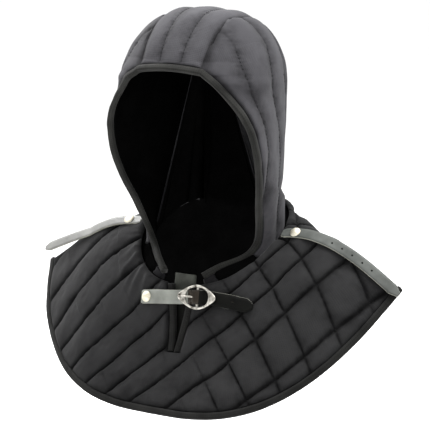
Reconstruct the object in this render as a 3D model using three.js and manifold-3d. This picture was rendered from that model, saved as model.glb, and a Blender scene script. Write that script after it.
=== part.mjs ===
// A padded arming coif: a quilted hood with a short quilted mantle over the shoulders,
// bound edges, leather shoulder straps and a buckled strap across the slit at the throat.
// Millimetres, +Z up, the front looks along -Y and +X is the wearer's left.
// The origin is the inside of the crown, where the wearer's head holds the coif up.

import * as THREE from "three";
import { mergeVertices } from "three/addons/utils/BufferGeometryUtils.js";
import Module from "manifold-3d";

const wasm = await Module();
wasm.setup();

// ---- Driving sizes -------------------------------------------------------------------

const SEAM_GAP = 0.3; // clear space between two pieces that are sewn or laid together
const LINING_DEPTH = 4.5; // from the stitched level of the quilting to the plain inside
const HOOD_PUFF = 2.8; // rise of the hood's channels between two stitch lines
const MANTLE_PUFF = 4.5; // rise of the mantle's diamonds between their stitch lines

const CROWN_TOP = LINING_DEPTH; // the inside of the crown is at zero
const HOOD_HALF_WIDTH = 96;
const HOOD_FRONT = 80; // crown top to brow, level
const HOOD_BACK = 112; // crown top to the back of the head, level
const CROWN_TOP_Y = -5;
const SIDE_DOME = 100; // height over which the crown rounds down into the sides
const FRONT_DOME = 95;
const FACE_OPENS_Z = -50; // below this the form runs on forwards, past the face opening,
const FACE_RUN = 0.45; // by this much for each step down
const BACK_DOME = 110;
const WIDEST_Y = -42; // where the hood is widest, below the dome
const NAPE_START_Z = -115; // the back tucks in towards the neck below this
const NAPE_TUCK = 20;
const NAPE_TUCK_DEPTH = 110; // by that much at this depth further down
const NECK_TUCK = { by: 12, from: 190, to: 300 }; // the sides draw in between these depths
const FORWARD_DEPTH = 150; // the widest place has moved to the front at this depth
// How square each dome or level section is: 2 is round and more is squarer.
const SQUARENESS = { side: 2.4, front: 2, back: 2.3, levelFront: 2.05, levelBack: 2 };

const STRIP_HALF_WIDTH = 42; // crown strip at brow and nape, middle to seam
const STRIP_SWELL = 7; // wider than that by this much over the crown
const STRIP_CHANNELS = 3;
const SIDE_CHANNEL = 42;

const NECK = { halfWidth: 85, halfDepth: 72, centreY: 17, midZ: -268, tilt: 44 };
const NECK_LAP = 7; // the mantle's neck edge stands this far outside the hood
const NECK_STAND = { front: 1, side: 11, back: 7 }; // and this far up it

const DIAMOND = 38.5; // between two parallel stitch lines of the mantle's second family
const CUT_INNER_RADIUS = 122; // the mantle's cut: a ring sector, neck edge
const CUT_HALF_ANGLE = 66; // degrees from its middle to a shoulder seam
const LINES_START = -4; // where a line of the second family crosses the cut's middle
const LONG_LINES = [-129, -90, -51, -12, 27, 66, 102, 137, 172, 209, 260, 300]; // the first family, in the cut
const CROSSING = { from: 15, to: 105 }; // the front's second family fades in over this width
const MANTLE_DROP = 165; // neck to hem along the cloth
const MANTLE_HALF_ACROSS = 250; // centre to shoulder seam along the cloth

const BINDING_WIDTH = 8;
const SLIT = { x: 5, top: -296, bottom: -388, halfGap: 13 };

const SHOULDER_STRAP_WIDTH = 13.5;
const STRAP_THICK = 2;
const RIVET = { radius: 6.5, height: 3.4 };
const ON_QUILTING = MANTLE_PUFF + SEAM_GAP; // height over the stitched level of what lies on it

// The front strap's middle line over the cloth, from the rivet to the tip of its tail.
const FRONT_STRAP = [
  { x: -47.5, z: -333 },
  { x: -18, z: -328 },
  { x: 26, z: -323.5 },
  { x: 62, z: -326 },
  { x: 97.5, z: -329.5 },
];
const FRONT_STRAP_WIDTH = 16.5;
const BUCKLE = {
  length: 48,
  width: 29,
  openLength: 28,
  openWidth: 22,
  thick: 2.8,
  lift: 1.6, // the frame's middle over the bar's
  bow: 2, // the rise of its two points
  at: 0.54, // the bar's place along the strap
};
const BUCKLE_BAR = { radius: 1.7, height: 4.4 }; // the bar's middle, over the strap's underside
const PRONG_RADIUS = 1.1;
const CHAPE = { thick: 1, width: 16, reach: 40 };

// The edge of the face opening, from the crown strip's seam at the brow down to the throat.
const FACE_EDGE = [
  { x: 42, y: -84, z: -62 },
  { x: 55, y: -81, z: -72 },
  { x: 68, y: -76, z: -85 },
  { x: 80, y: -72, z: -98 },
  { x: 90, y: -68, z: -112 },
  { x: 97, y: -63, z: -129 },
  { x: 100, y: -57, z: -150 },
  { x: 99, y: -50, z: -172 },
  { x: 94, y: -41, z: -196 },
  { x: 87, y: -30, z: -220 },
  { x: 80, y: -19, z: -244 },
  { x: 72, y: -13, z: -264 },
  { x: 59, y: -19, z: -278 },
  { x: 40, y: -40, z: -287 },
  { x: 20, y: -56, z: -301 },
];

// The mantle, one row per line from the neck to the hem, centre to shoulder.
// neck: degrees round the neck edge. x, y, z: the hem. rise: how far the cloth bows up.
const FRONT_LINES = [
  { neck: 0, x: 0, y: -122, z: -452, rise: -4, out: -14 },
  { neck: 15, x: 52, y: -121, z: -451, rise: -2, out: -12 },
  { neck: 30, x: 100, y: -113, z: -444, rise: 0, out: -8 },
  { neck: 45, x: 142, y: -94, z: -429, rise: 5, out: -1 },
  { neck: 60, x: 182, y: -65, z: -401, rise: 10, out: 1 },
  { neck: 75, x: 219, y: -30, z: -359, rise: 14, out: 1 },
  { neck: 90, x: 250, y: 20, z: -306, rise: 15, out: 0 },
];
const BACK_LINES = [
  { neck: 90, x: 250, y: 20, z: -306, rise: 15, out: 0 },
  { neck: 105, x: 203, y: 64, z: -350, rise: 17, out: 0 },
  { neck: 120, x: 160, y: 98, z: -383, rise: 14, out: 1 },
  { neck: 135, x: 118, y: 124, z: -406, rise: 10, out: 2 },
  { neck: 150, x: 78, y: 140, z: -421, rise: 8, out: 3 },
  { neck: 165, x: 39, y: 148, z: -428, rise: 6, out: 4 },
  { neck: 180, x: 0, y: 150, z: -430, rise: 6, out: 4 },
];
// The wearer's right shoulder hangs lower than the left from this far out.
const SHOULDER_DROOP = { by: 20, from: 110, to: 250 };
// The left shoulder stands up near the neck, most at this many degrees round it.
const SHOULDER_LIFT = { by: 10, round: 98, reach: 36, skew: 0.55 };

// ---- Small tools ---------------------------------------------------------------------

const radians = THREE.MathUtils.degToRad;
const clamp = THREE.MathUtils.clamp;
const lerp = THREE.MathUtils.lerp;
const smooth = (x, low, high) => THREE.MathUtils.smoothstep(x, low, high);
const vec = (x, y, z) => new THREE.Vector3(x, y, z);

// A column of a table at a place between its rows, on a smooth curve through them.
function between(rows, column, place) {
  const last = rows.length - 1;
  const i = clamp(Math.floor(place), 0, last - 1);
  const t = place - i;
  const b = rows[i][column];
  const c = rows[i + 1][column];
  const a = i > 0 ? rows[i - 1][column] : 2 * b - c;
  const d = i + 2 <= last ? rows[i + 2][column] : 2 * c - b;
  const slope = (c - a) / 2;
  const nextSlope = (d - b) / 2;
  const square = 3 * (c - b) - 2 * slope - nextSlope;
  const cube = 2 * (b - c) + slope + nextSlope;
  return b + t * slope + t * t * square + t ** 3 * cube;
}

// Spaces the places from 0 to 1 evenly along a curve, so that equal shares have equal lengths.
function evenly(curve, samples = 160) {
  const lengths = [0];
  let before = curve(0);
  for (let i = 1; i <= samples; i++) {
    const here = curve(i / samples);
    lengths.push(lengths[i - 1] + here.distanceTo(before));
    before = here;
  }
  return (share) => {
    const wanted = share * lengths[samples];
    let i = 1;
    while (i < samples && lengths[i] < wanted) i++;
    const t = (wanted - lengths[i - 1]) / (lengths[i] - lengths[i - 1]);
    return curve((i - 1 + t) / samples);
  };
}

// The unit normal of a surface given as a function of two places, by small steps.
function normalOf(surface, a, b) {
  const step = 0.004;
  const a0 = clamp(a - step, 0, 1);
  const a1 = clamp(a + step, 0, 1);
  const b0 = clamp(b - step, 0, 1);
  const b1 = clamp(b + step, 0, 1);
  const along = surface(a1, b).sub(surface(a0, b));
  const across = surface(a, b1).sub(surface(a, b0));
  return along.cross(across).normalize();
}

// A raised channel or diamond: 0 on its stitch lines and 1 half way between them.
const swell = (place, pitch) => Math.abs(Math.sin((Math.PI * place) / pitch)) ** 0.6;

// ---- Meshes --------------------------------------------------------------------------

// Makes a mesh from points and triangles, leaves out triangles with no area, faces it out.
function meshFrom(name, material, points, triangles) {
  const flat = points.flatMap((p) => [p.x, p.y, p.z]);
  const raw = new THREE.BufferGeometry();
  raw.setAttribute("position", new THREE.Float32BufferAttribute(flat, 3));
  raw.setIndex(triangles.flat());
  const merged = mergeVertices(raw, 1e-3);
  const old = merged.index.array;
  const kept = [];
  for (let i = 0; i < old.length; i += 3) {
    const [a, b, c] = [old[i], old[i + 1], old[i + 2]];
    if (a !== b && b !== c && c !== a) kept.push(a, b, c);
  }
  merged.setIndex(kept);
  if (volumeOf(merged) < 0) {
    for (let i = 0; i < kept.length; i += 3) [kept[i + 1], kept[i + 2]] = [kept[i + 2], kept[i + 1]];
    merged.setIndex(kept);
  }
  merged.computeVertexNormals();
  const mesh = new THREE.Mesh(merged, material);
  mesh.name = name;
  return mesh;
}

function volumeOf(geometry) {
  const p = geometry.getAttribute("position");
  const index = geometry.index.array;
  const at = (i) => vec(p.getX(i), p.getY(i), p.getZ(i));
  let six = 0;
  for (let i = 0; i < index.length; i += 3) {
    six += at(index[i]).dot(at(index[i + 1]).cross(at(index[i + 2])));
  }
  return six / 6;
}

// A cloth wall: a fine raised outside and a plain inside whose cells are `coarse` times wider.
function wall(name, material, columns, rows, coarse, outside, inside) {
  const points = [];
  const triangles = [];
  const grid = (surface, step) => {
    const ids = [];
    for (let i = 0; i <= columns; i += step) {
      const line = [];
      for (let j = 0; j <= rows; j += step) {
        line.push(points.length);
        points.push(surface(i / columns, j / rows));
      }
      ids.push(line);
    }
    return ids;
  };
  const fill = (ids, turned) => {
    for (let i = 0; i + 1 < ids.length; i++) {
      for (let j = 0; j + 1 < ids[i].length; j++) {
        const [a, b, c, d] = [ids[i][j], ids[i + 1][j], ids[i + 1][j + 1], ids[i][j + 1]];
        const pair = (i + j) % 2 ? [[a, b, c], [a, c, d]] : [[a, b, d], [b, c, d]];
        for (const [p, q, r] of pair) triangles.push(turned ? [p, r, q] : [p, q, r]);
      }
    }
  };
  const rim = (ids) => {
    const m = ids.length - 1;
    const n = ids[0].length - 1;
    const ring = [];
    for (let i = 0; i < m; i++) ring.push(ids[i][0]);
    for (let j = 0; j < n; j++) ring.push(ids[m][j]);
    for (let i = m; i > 0; i--) ring.push(ids[i][n]);
    for (let j = n; j > 0; j--) ring.push(ids[0][j]);
    return ring;
  };
  const outer = grid(outside, 1);
  const inner = grid(inside, coarse);
  fill(outer, false);
  fill(inner, true);
  const fine = rim(outer);
  const plain = rim(inner);
  for (let k = 0; k < plain.length; k++) {
    const here = plain[k];
    const next = plain[(k + 1) % plain.length];
    for (let m = 0; m < coarse; m++) {
      const p = fine[k * coarse + m];
      const q = fine[(k * coarse + m + 1) % fine.length];
      const foot = m < coarse / 2 ? here : next;
      triangles.push([q, p, foot]);
    }
    triangles.push([fine[k * coarse + Math.ceil(coarse / 2)], here, next]);
  }
  return meshFrom(name, material, points, triangles);
}

// A bar swept along stations. Each has its place and two unit directions, and the section
// is a list of [across, up] pairs in millimetres, the same number at every station.
function bar(name, material, stations, sectionAt) {
  const points = [];
  const triangles = [];
  const count = stations.length;
  const sides = sectionAt(0).length;
  stations.forEach((s, i) => {
    for (const [across, up] of sectionAt(i / (count - 1))) {
      points.push(s.at.clone().addScaledVector(s.across, across).addScaledVector(s.up, up));
    }
  });
  for (let i = 0; i + 1 < count; i++) {
    for (let k = 0; k < sides; k++) {
      const a = i * sides + k;
      const b = i * sides + ((k + 1) % sides);
      const c = a + sides;
      const d = b + sides;
      triangles.push([a, b, c], [b, d, c]);
    }
  }
  const end = (count - 1) * sides;
  for (let k = 1; k + 1 < sides; k++) {
    triangles.push([0, k + 1, k], [end, end + k, end + k + 1]);
  }
  return meshFrom(name, material, points, triangles);
}

function solidOf(geometry) {
  const bare = geometry.clone();
  bare.deleteAttribute("normal");
  bare.deleteAttribute("uv");
  const merged = mergeVertices(bare, 1e-3);
  return new wasm.Manifold(
    new wasm.Mesh({
      numProp: 3,
      vertProperties: merged.getAttribute("position").array,
      triVerts: new Uint32Array(merged.index.array),
    }),
  );
}

function meshOf(name, material, solid) {
  const made = solid.getMesh();
  const geometry = new THREE.BufferGeometry();
  const places = new Float32Array(made.numVert * 3);
  for (let i = 0; i < made.numVert; i++) {
    places.set(made.vertProperties.subarray(i * made.numProp, i * made.numProp + 3), i * 3);
  }
  geometry.setAttribute("position", new THREE.BufferAttribute(places, 3));
  geometry.setIndex([...made.triVerts]);
  geometry.computeVertexNormals();
  const mesh = new THREE.Mesh(geometry, material);
  mesh.name = name;
  return mesh;
}

// ---- The hood's form -----------------------------------------------------------------

// The neck seam: degrees round from the front, with a step outwards and a step up.
function neckPoint(degrees, out = 0, up = 0) {
  const a = radians(degrees);
  return vec(
    (NECK.halfWidth + out) * Math.sin(a),
    NECK.centreY - (NECK.halfDepth + out) * Math.cos(a),
    NECK.midZ - NECK.tilt * Math.cos(a) + up,
  );
}

// How far a dome has opened at a drop below its top: 0 at the top and 1 at its full depth.
function opened(drop, depth, power) {
  const left = 1 - clamp(drop / depth, 0, 1);
  return (1 - left ** power) ** (1 / power);
}

// Half the hood's width at a place of its side view: across y and up z.
function halfWidthAt(y, z) {
  const drop = CROWN_TOP - z;
  if (drop <= 0) return 0;
  const neck = smooth(-z, NECK_TUCK.from, NECK_TUCK.to);
  const widest = HOOD_HALF_WIDTH * opened(drop, SIDE_DOME, SQUARENESS.side) - NECK_TUCK.by * neck;
  const middle = lerp(CROWN_TOP_Y, WIDEST_Y, smooth(drop, 0, FORWARD_DEPTH));
  const past = Math.max(0, FACE_OPENS_Z - z);
  const front = CROWN_TOP_Y - HOOD_FRONT * opened(drop, FRONT_DOME, SQUARENESS.front) - past * FACE_RUN;
  const tuck = NAPE_TUCK * (Math.max(0, NAPE_START_Z - z) / NAPE_TUCK_DEPTH) ** 2;
  const back = CROWN_TOP_Y + HOOD_BACK * opened(drop, BACK_DOME, SQUARENESS.back) - tuck;
  const share = y > middle ? (y - middle) / (back - middle) : (middle - y) / (middle - front);
  if (share >= 1) return 0;
  const power = y > middle ? SQUARENESS.levelBack : SQUARENESS.levelFront;
  return widest * (1 - share ** power) ** (1 / power);
}

// The crown strip: places from brow (0) to nape (1), across from -1 to 1 between the seams.
const STRIP_CENTRE = { y: 8, z: -105 };
function stripEdgeAngle(point) {
  return Math.atan2(point.z - STRIP_CENTRE.z, point.y - STRIP_CENTRE.y);
}
// The hood's surface at a level distance x from the middle, seen at an angle from the side.
function onHood(x, angle) {
  let near = 20;
  let far = 190;
  for (let i = 0; i < 40; i++) {
    const r = (near + far) / 2;
    const y = STRIP_CENTRE.y + r * Math.cos(angle);
    const z = STRIP_CENTRE.z + r * Math.sin(angle);
    const width = halfWidthAt(y, z);
    if (width > 0 && width >= x) near = r;
    else far = r;
  }
  return vec(x, STRIP_CENTRE.y + near * Math.cos(angle), STRIP_CENTRE.z + near * Math.sin(angle));
}
function napeAngle(x) {
  const degrees = 180 - THREE.MathUtils.radToDeg(Math.asin(x / NECK.halfWidth));
  return stripEdgeAngle(neckPoint(degrees));
}
function browAngle(x) {
  const corner = FACE_EDGE[0];
  const middle = stripEdgeAngle(vec(0, corner.y - 2, corner.z + 3));
  return lerp(middle, stripEdgeAngle(corner), (x / STRIP_HALF_WIDTH) ** 2);
}
function stripPoint(along, across) {
  const widened = STRIP_HALF_WIDTH + STRIP_SWELL * Math.sin(Math.PI * along);
  const off = Math.abs(across) * widened;
  const share = off / STRIP_HALF_WIDTH;
  const start = Math.min(share, 1) * STRIP_HALF_WIDTH;
  const point = onHood(off, lerp(browAngle(start), napeAngle(start), along));
  point.x = off * Math.sign(across);
  return point;
}

// The side's two edges, both from the top of the crown down to the throat.
const seamCurve = (along) => stripPoint(along, 1);
const seamTop = topOfSeam();
function topOfSeam() {
  let best = 0;
  for (let i = 0; i <= 400; i++) if (seamCurve(i / 400).z > seamCurve(best).z) best = i / 400;
  return best;
}
const brow = seamCurve(0);
const facePoint = (share) => {
  const place = share * (FACE_EDGE.length - 1);
  const point = vec(...["x", "y", "z"].map((column) => between(FACE_EDGE, column, place)));
  const settle = clamp(1 - place, 0, 1); // the first point lies on the strip's seam
  const start = vec(FACE_EDGE[0].x, FACE_EDGE[0].y, FACE_EDGE[0].z);
  return point.addScaledVector(brow.clone().sub(start), settle);
};
const NAPE_CORNER = 180 - THREE.MathUtils.radToDeg(Math.asin(STRIP_HALF_WIDTH / NECK.halfWidth));
const THROAT_CORNER = THREE.MathUtils.radToDeg(Math.asin(FACE_EDGE.at(-1).x / NECK.halfWidth));

function joined(first, second, share) {
  return (t) => (t < share ? first(t / share) : second((t - share) / (1 - share)));
}
const FRONT_EDGE_LENGTH = 395; // crown to throat along the side's front edge
const BROW_PLACE = 0.28; // the part of the front edge that is the crown's seam
const NAPE_PLACE = 0.6; // the same for the back edge
const frontEdge = evenly(joined((t) => seamCurve(lerp(seamTop, 0, t)), facePoint, BROW_PLACE));
const backEdge = evenly(
  joined(
    (t) => seamCurve(lerp(seamTop, 1, t)),
    (t) => neckPoint(lerp(NAPE_CORNER, THROAT_CORNER, t)),
    NAPE_PLACE,
  ),
);

// The side of the hood: down from the crown to the throat, and back from its front edge.
function sidePoint(down, back) {
  const front = frontEdge(down);
  const rear = backEdge(down);
  const y = lerp(front.y, rear.y, back);
  const z = lerp(front.z, rear.z, back);
  const atFront = front.x - halfWidthAt(front.y, front.z);
  const atRear = rear.x - halfWidthAt(rear.y, rear.z);
  const power = 1 + smooth(front.distanceTo(rear), 40, 120); // short stretches go straight across
  return vec(halfWidthAt(y, z) + atFront * (1 - back) ** power + atRear * back ** power, y, z);
}

// Upright stitch lines of the side: level distance round the hood from its middle.
function sideChannel(point) {
  const pivot = 40;
  const radius = 90;
  const bend = { by: 14, z: -80, reach: 45 }; // the lines bow back at the temple
  const lean = bend.by * Math.exp(-(((point.z - bend.z) / bend.reach) ** 2));
  if (point.y < pivot) return point.y + lean;
  return pivot + radius * Math.atan2(point.y - pivot, Math.abs(point.x));
}
const FIRST_LINE = -25; // of the side's stitch lines, over level distance

function fadeAtEdges(a, b, reachA, reachB) {
  const nearA = Math.min(a, 1 - a) / reachA;
  const nearB = Math.min(b, 1 - b) / reachB;
  return smooth(Math.min(nearA, nearB), 0, 1);
}

// ---- The mantle's form ---------------------------------------------------------------

const droopAt = (x) => SHOULDER_DROOP.by * smooth(x, SHOULDER_DROOP.from, SHOULDER_DROOP.to);

// side is 1 on the wearer's left and -1 on the right; place runs over the table's rows.
function mantlePoint(lines, place, down, side) {
  const value = (column) => between(lines, column, place);
  const round = value("neck");
  const stand =
    lerp(NECK_STAND.front, NECK_STAND.side, smooth(round, 20, 80)) +
    (NECK_STAND.back - NECK_STAND.side) * smooth(round, 100, 170);
  const neck = neckPoint(round, NECK_LAP, stand);
  const hem = vec(value("x"), value("y"), value("z"));
  const point = neck.clone().lerp(hem, down);
  const bow = Math.sin(Math.PI * down);
  const away = vec(hem.x - neck.x, hem.y - neck.y, 0).normalize();
  point.z += value("rise") * bow;
  point.addScaledVector(away, value("out") * bow);
  if (side < 0) {
    point.z -= droopAt(point.x);
  } else {
    const beside = Math.exp(-(((round - SHOULDER_LIFT.round) / SHOULDER_LIFT.reach) ** 2));
    point.z += SHOULDER_LIFT.by * beside * Math.sin(Math.PI * clamp(down, 0, 1) ** SHOULDER_LIFT.skew);
  }
  point.x *= side;
  return point;
}

// The front or back panel: across from the wearer's right (0) to left (1), down to the hem.
function panelPoint(lines, order) {
  const last = lines.length - 1;
  return (across, down) => {
    const from = Math.abs(2 * across - 1) * last;
    const side = across >= 0.5 ? 1 : -1;
    return mantlePoint(lines, order > 0 ? from : last - from, down, side);
  };
}
const frontPanel = panelPoint(FRONT_LINES, 1);
const backPanel = panelPoint(BACK_LINES, -1);

// Diamond quilting: two families of straight lines at right angles in the flat cut. On the
// front, the wearer's right has one family only, so it is quilted in slanting channels.
function diamondSwell(across, down, isFront) {
  const angle = radians(CUT_HALF_ANGLE * (2 * across - 1));
  const radius = CUT_INNER_RADIUS + MANTLE_DROP * down;
  const u = radius * Math.sin(angle);
  const v = radius * Math.cos(angle);
  const p = (u + v) / Math.SQRT2;
  const q = (u - v) / Math.SQRT2;
  const crossed = isFront ? smooth(u, CROSSING.from, CROSSING.to) : 1;
  const i = clamp(LONG_LINES.findIndex((line) => line > p), 1, LONG_LINES.length - 1);
  const room = LONG_LINES[i] - LONG_LINES[i - 1];
  return swell(p - LONG_LINES[i - 1], room) * lerp(1, swell(q - LINES_START, DIAMOND), crossed);
}

// ---- Materials -----------------------------------------------------------------------

const finish = (colour, roughness, metalness = 0) =>
  new THREE.MeshStandardMaterial({ color: colour, roughness, metalness });
const hoodCloth = () => finish(0x3a393c, 0.9);
const mantleCloth = () => finish(0x302f31, 0.9);
const tape = () => finish(0x2b2b2a, 0.85);
const strapLeather = () => finish(0x8a8c85, 0.5);
const buckleMetal = () => finish(0xb9b6a8, 0.3, 0.9);
const rivetMetal = () => finish(0xd8d2b8, 0.35, 0.8);

// ---- Hood pieces ---------------------------------------------------------------------

const coif = new THREE.Group();
const half = SEAM_GAP / 2;
const RIM_INSET = BINDING_WIDTH + 1.5 * SEAM_GAP; // the binding fills the first part of the side

const SIDE_ROWS = 36;
const CORNER_ROW = 9; // the row of the side that ends at the binding's inner corner at the brow
const SIDE_COLUMNS = 18;
const SIDE_START = 0.012; // the side's first row, just off the top of the crown's seam
const SIDE_END = 0.982; // the side stops here, where it has narrowed to the throat corner
const BELOW_BROW = 0.004; // the first row under the brow's corner
const browShare = shareNearest(frontEdge, brow);
function shareNearest(curve, place) {
  let best = 0;
  for (let i = 0; i <= 800; i++) {
    if (curve(i / 800).distanceTo(place) < curve(best).distanceTo(place)) best = i / 800;
  }
  return best;
}

// The rows of the side: down to the binding's corner, a step over it, then down to the throat.
function sideRow(along) {
  const corner = CORNER_ROW / SIDE_ROWS;
  const past = (CORNER_ROW + 1) / SIDE_ROWS;
  const inner = browShare - RIM_INSET / FRONT_EDGE_LENGTH;
  if (along <= corner) return lerp(SIDE_START, inner, along / corner);
  return lerp(browShare + BELOW_BROW, SIDE_END, Math.max(0, along - past) / (1 - past));
}

// The side's outline drawn in, so that seams and binding have their own room.
const LINING_SETBACK = 3; // the lining stops this much earlier, where the edge curves in
function sideInset(down, back, depth) {
  const front = frontEdge(down);
  const rear = backEdge(down);
  const length = Math.max(front.distanceTo(rear), 1);
  const edge = frontEdge(Math.min(down + 0.004, 1)).sub(frontEdge(down - 0.004)).normalize();
  const row = sidePoint(down, 0.06).sub(front).normalize();
  const slant = Math.max(edge.cross(row).length(), 0.5);
  const rim = RIM_INSET + 1.6 * SEAM_GAP + (depth > 0 ? LINING_SETBACK : 0);
  const first = (down < browShare ? half : rim / slant) / length;
  const reach = 1 - half / length;
  return lerp(Math.min(first, 0.8), Math.max(reach, 0.9), back);
}

function addSide(name, side) {
  const cloth = (depth) => (along, back) => {
    const down = sideRow(along);
    const place = sideInset(down, back, depth);
    const point = sidePoint(down, place);
    const normal = normalOf(sidePoint, down, place);
    if (normal.x < 0) normal.negate();
    const line = swell(sideChannel(point) - FIRST_LINE, SIDE_CHANNEL);
    const raise = depth > 0 ? -depth : HOOD_PUFF * line * fadeAtEdges(along, back, 0.03, 0.09);
    point.addScaledVector(normal, raise);
    point.x *= side;
    return point;
  };
  coif.add(wall(name, hoodCloth(), SIDE_ROWS, SIDE_COLUMNS, 2, cloth(0), cloth(LINING_DEPTH)));
}
addSide("hood_side_left", 1);
addSide("hood_side_right", -1);

function addCrown() {
  const inset = 1 - half / STRIP_HALF_WIDTH;
  const surface = (along, across) => stripPoint(along, inset * (2 * across - 1));
  const cloth = (depth) => (share, across) => {
    const pace = surface(0.02, across).distanceTo(surface(0, across)) / 0.02;
    const along = lerp(RIM_INSET / pace, 1, share);
    const point = surface(along, across);
    const normal = normalOf(surface, along, across);
    const outward = vec(0, point.y - STRIP_CENTRE.y, point.z - STRIP_CENTRE.z);
    if (normal.dot(outward) < 0) normal.negate();
    const line = swell(across, 1 / STRIP_CHANNELS);
    const raise = depth > 0 ? -depth : HOOD_PUFF * line * fadeAtEdges(share, across, 0.02, 0.12);
    return point.addScaledVector(normal, raise);
  };
  const rows = 36;
  const columns = 8;
  coif.add(wall("hood_crown", hoodCloth(), rows, columns, 2, cloth(0), cloth(LINING_DEPTH)));
}
addCrown();

// ---- Mantle pieces -------------------------------------------------------------------

// The panels stop short of the hem by the binding, and of each other at the shoulder seams.
const PANEL_COLUMNS = 48;
const PANEL_ROWS = 14;
const PANEL_EDGE = 1 - RIM_INSET / MANTLE_DROP;
function panelNormal(surface, across, down, share) {
  const normal = normalOf(surface, across, down);
  if (normal.z < 0) normal.negate();
  normal.y *= smooth(Math.min(share, 1 - share), 0, 0.08); // level with the other panel at the seam
  return normal.normalize();
}
function panelMesh(name, surface, isFront) {
  const seam = half / MANTLE_HALF_ACROSS;
  const cloth = (depth) => (share, down) => {
    const across = lerp(seam, 1 - seam, share);
    const fall = PANEL_EDGE * down;
    const point = surface(across, fall);
    const normal = panelNormal(surface, across, fall, share);
    const rise = diamondSwell(across, fall, isFront) * fadeAtEdges(share, down, 0.03, 0.06);
    return point.addScaledVector(normal, depth > 0 ? -depth : MANTLE_PUFF * rise);
  };
  const panel = wall(name, mantleCloth(), PANEL_COLUMNS, PANEL_ROWS, 2, cloth(0), cloth(LINING_DEPTH));
  if (!isFront) return panel;
  return meshOf(name, mantleCloth(), solidOf(panel.geometry).subtract(slitWedge()));
}

// The slit at the throat: a wedge through the front panel, with room for its two bindings.
function slitWedge() {
  const foot = BINDING_WIDTH + SEAM_GAP;
  const slope = SLIT.halfGap / (SLIT.top - SLIT.bottom);
  const above = 30;
  const shape = new THREE.Shape([
    new THREE.Vector2(-foot, SLIT.bottom),
    new THREE.Vector2(foot, SLIT.bottom),
    new THREE.Vector2(foot + SLIT.halfGap + slope * above, SLIT.top + above),
    new THREE.Vector2(-foot - SLIT.halfGap - slope * above, SLIT.top + above),
  ]);
  const wedge = new THREE.ExtrudeGeometry(shape, { depth: 120, bevelEnabled: false });
  wedge.rotateX(Math.PI / 2);
  wedge.translate(SLIT.x, 0, 0);
  return solidOf(wedge);
}
coif.add(panelMesh("mantle_front", frontPanel, true));
coif.add(panelMesh("mantle_back", backPanel, false));

// A bound edge: tape folded over the cloth, rounded on the outside and flat on the inside.
const boundSection = (scale = 1) => [
  [0, -LINING_DEPTH],
  [BINDING_WIDTH * scale, -LINING_DEPTH],
  [BINDING_WIDTH * scale, 1.2],
  [BINDING_WIDTH * scale * 0.72, 2.8],
  [BINDING_WIDTH * scale * 0.25, 2.8],
  [0, 1.2],
];

// The hem binding follows the panel's own columns, so both edges keep the same clear seam.
function addHem(name, surface) {
  const stations = [];
  const slants = [];
  const seam = half / MANTLE_HALF_ACROSS;
  for (let i = 0; i <= PANEL_COLUMNS; i++) {
    const across = lerp(seam, 1 - seam, i / PANEL_COLUMNS);
    const edge = surface(across, PANEL_EDGE);
    const down = surface(across, 1).sub(edge).normalize();
    const low = Math.max(across - 0.006, 0);
    const high = Math.min(across + 0.006, 1);
    const tangent = surface(high, PANEL_EDGE).sub(surface(low, PANEL_EDGE)).normalize();
    slants.push(Math.max(tangent.clone().cross(down).length(), 0.6));
    const up = panelNormal(surface, across, PANEL_EDGE, i / PANEL_COLUMNS);
    stations.push({ at: edge.addScaledVector(down, (1.5 * SEAM_GAP) / slants[i]), across: down, up });
  }
  const section = (share) => boundSection(1 / slants[Math.round(share * PANEL_COLUMNS)]);
  coif.add(bar(name, tape(), stations, section));
}
addHem("hem_binding_front", frontPanel);
addHem("hem_binding_back", backPanel);

// A place on the front panel straight behind a given x and z, with the cloth's normal there.
function onFront(x, z) {
  let across = 0.5 + x / 560;
  let down = (z + 311) / -141;
  const step = 0.01;
  for (let i = 0; i < 14; i++) {
    const here = frontPanel(across, down);
    const side = frontPanel(across + step, down).sub(here);
    const below = frontPanel(across, down + step).sub(here);
    const [ex, ez] = [x - here.x, z - here.z];
    const area = side.x * below.z - below.x * side.z;
    across += (step * (ex * below.z - ez * below.x)) / area;
    down += (step * (ez * side.x - ex * side.z)) / area;
  }
  const at = frontPanel(across, down);
  const aside = frontPanel(across + step, down).sub(frontPanel(across - step, down));
  const fall = frontPanel(across, down + step).sub(frontPanel(across, down - step));
  const normal = fall.cross(aside).normalize();
  return { at, normal: normal.y > 0 ? normal.negate() : normal };
}

// The slit's two bindings, from the neck edge down to the point where they meet.
const SLIT_STATIONS = 12;
const SLIT_HEAD = 15.5; // the neck edge dips this far below the slit's top, where the hood is
const SLIT_FOOT = 2.4; // the bindings end this far above the cut, since their ends slope
function addSlitBinding(name, side) {
  const stations = [];
  const top = SLIT.top - SLIT_HEAD;
  const bottom = SLIT.bottom + SLIT_FOOT;
  for (let i = 0; i <= SLIT_STATIONS; i++) {
    const z = lerp(top, bottom, i / SLIT_STATIONS);
    const apart = (SLIT.halfGap * (z - SLIT.bottom)) / (SLIT.top - SLIT.bottom);
    const x = SLIT.x + side * Math.max(apart, half);
    const place = onFront(x, z);
    const up = place.normal.setX(0).normalize();
    stations.push({ at: place.at, across: vec(side, 0, 0), up });
  }
  coif.add(bar(name, tape(), stations, () => boundSection(1)));
}
addSlitBinding("slit_binding_left", 1);
addSlitBinding("slit_binding_right", -1);

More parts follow.
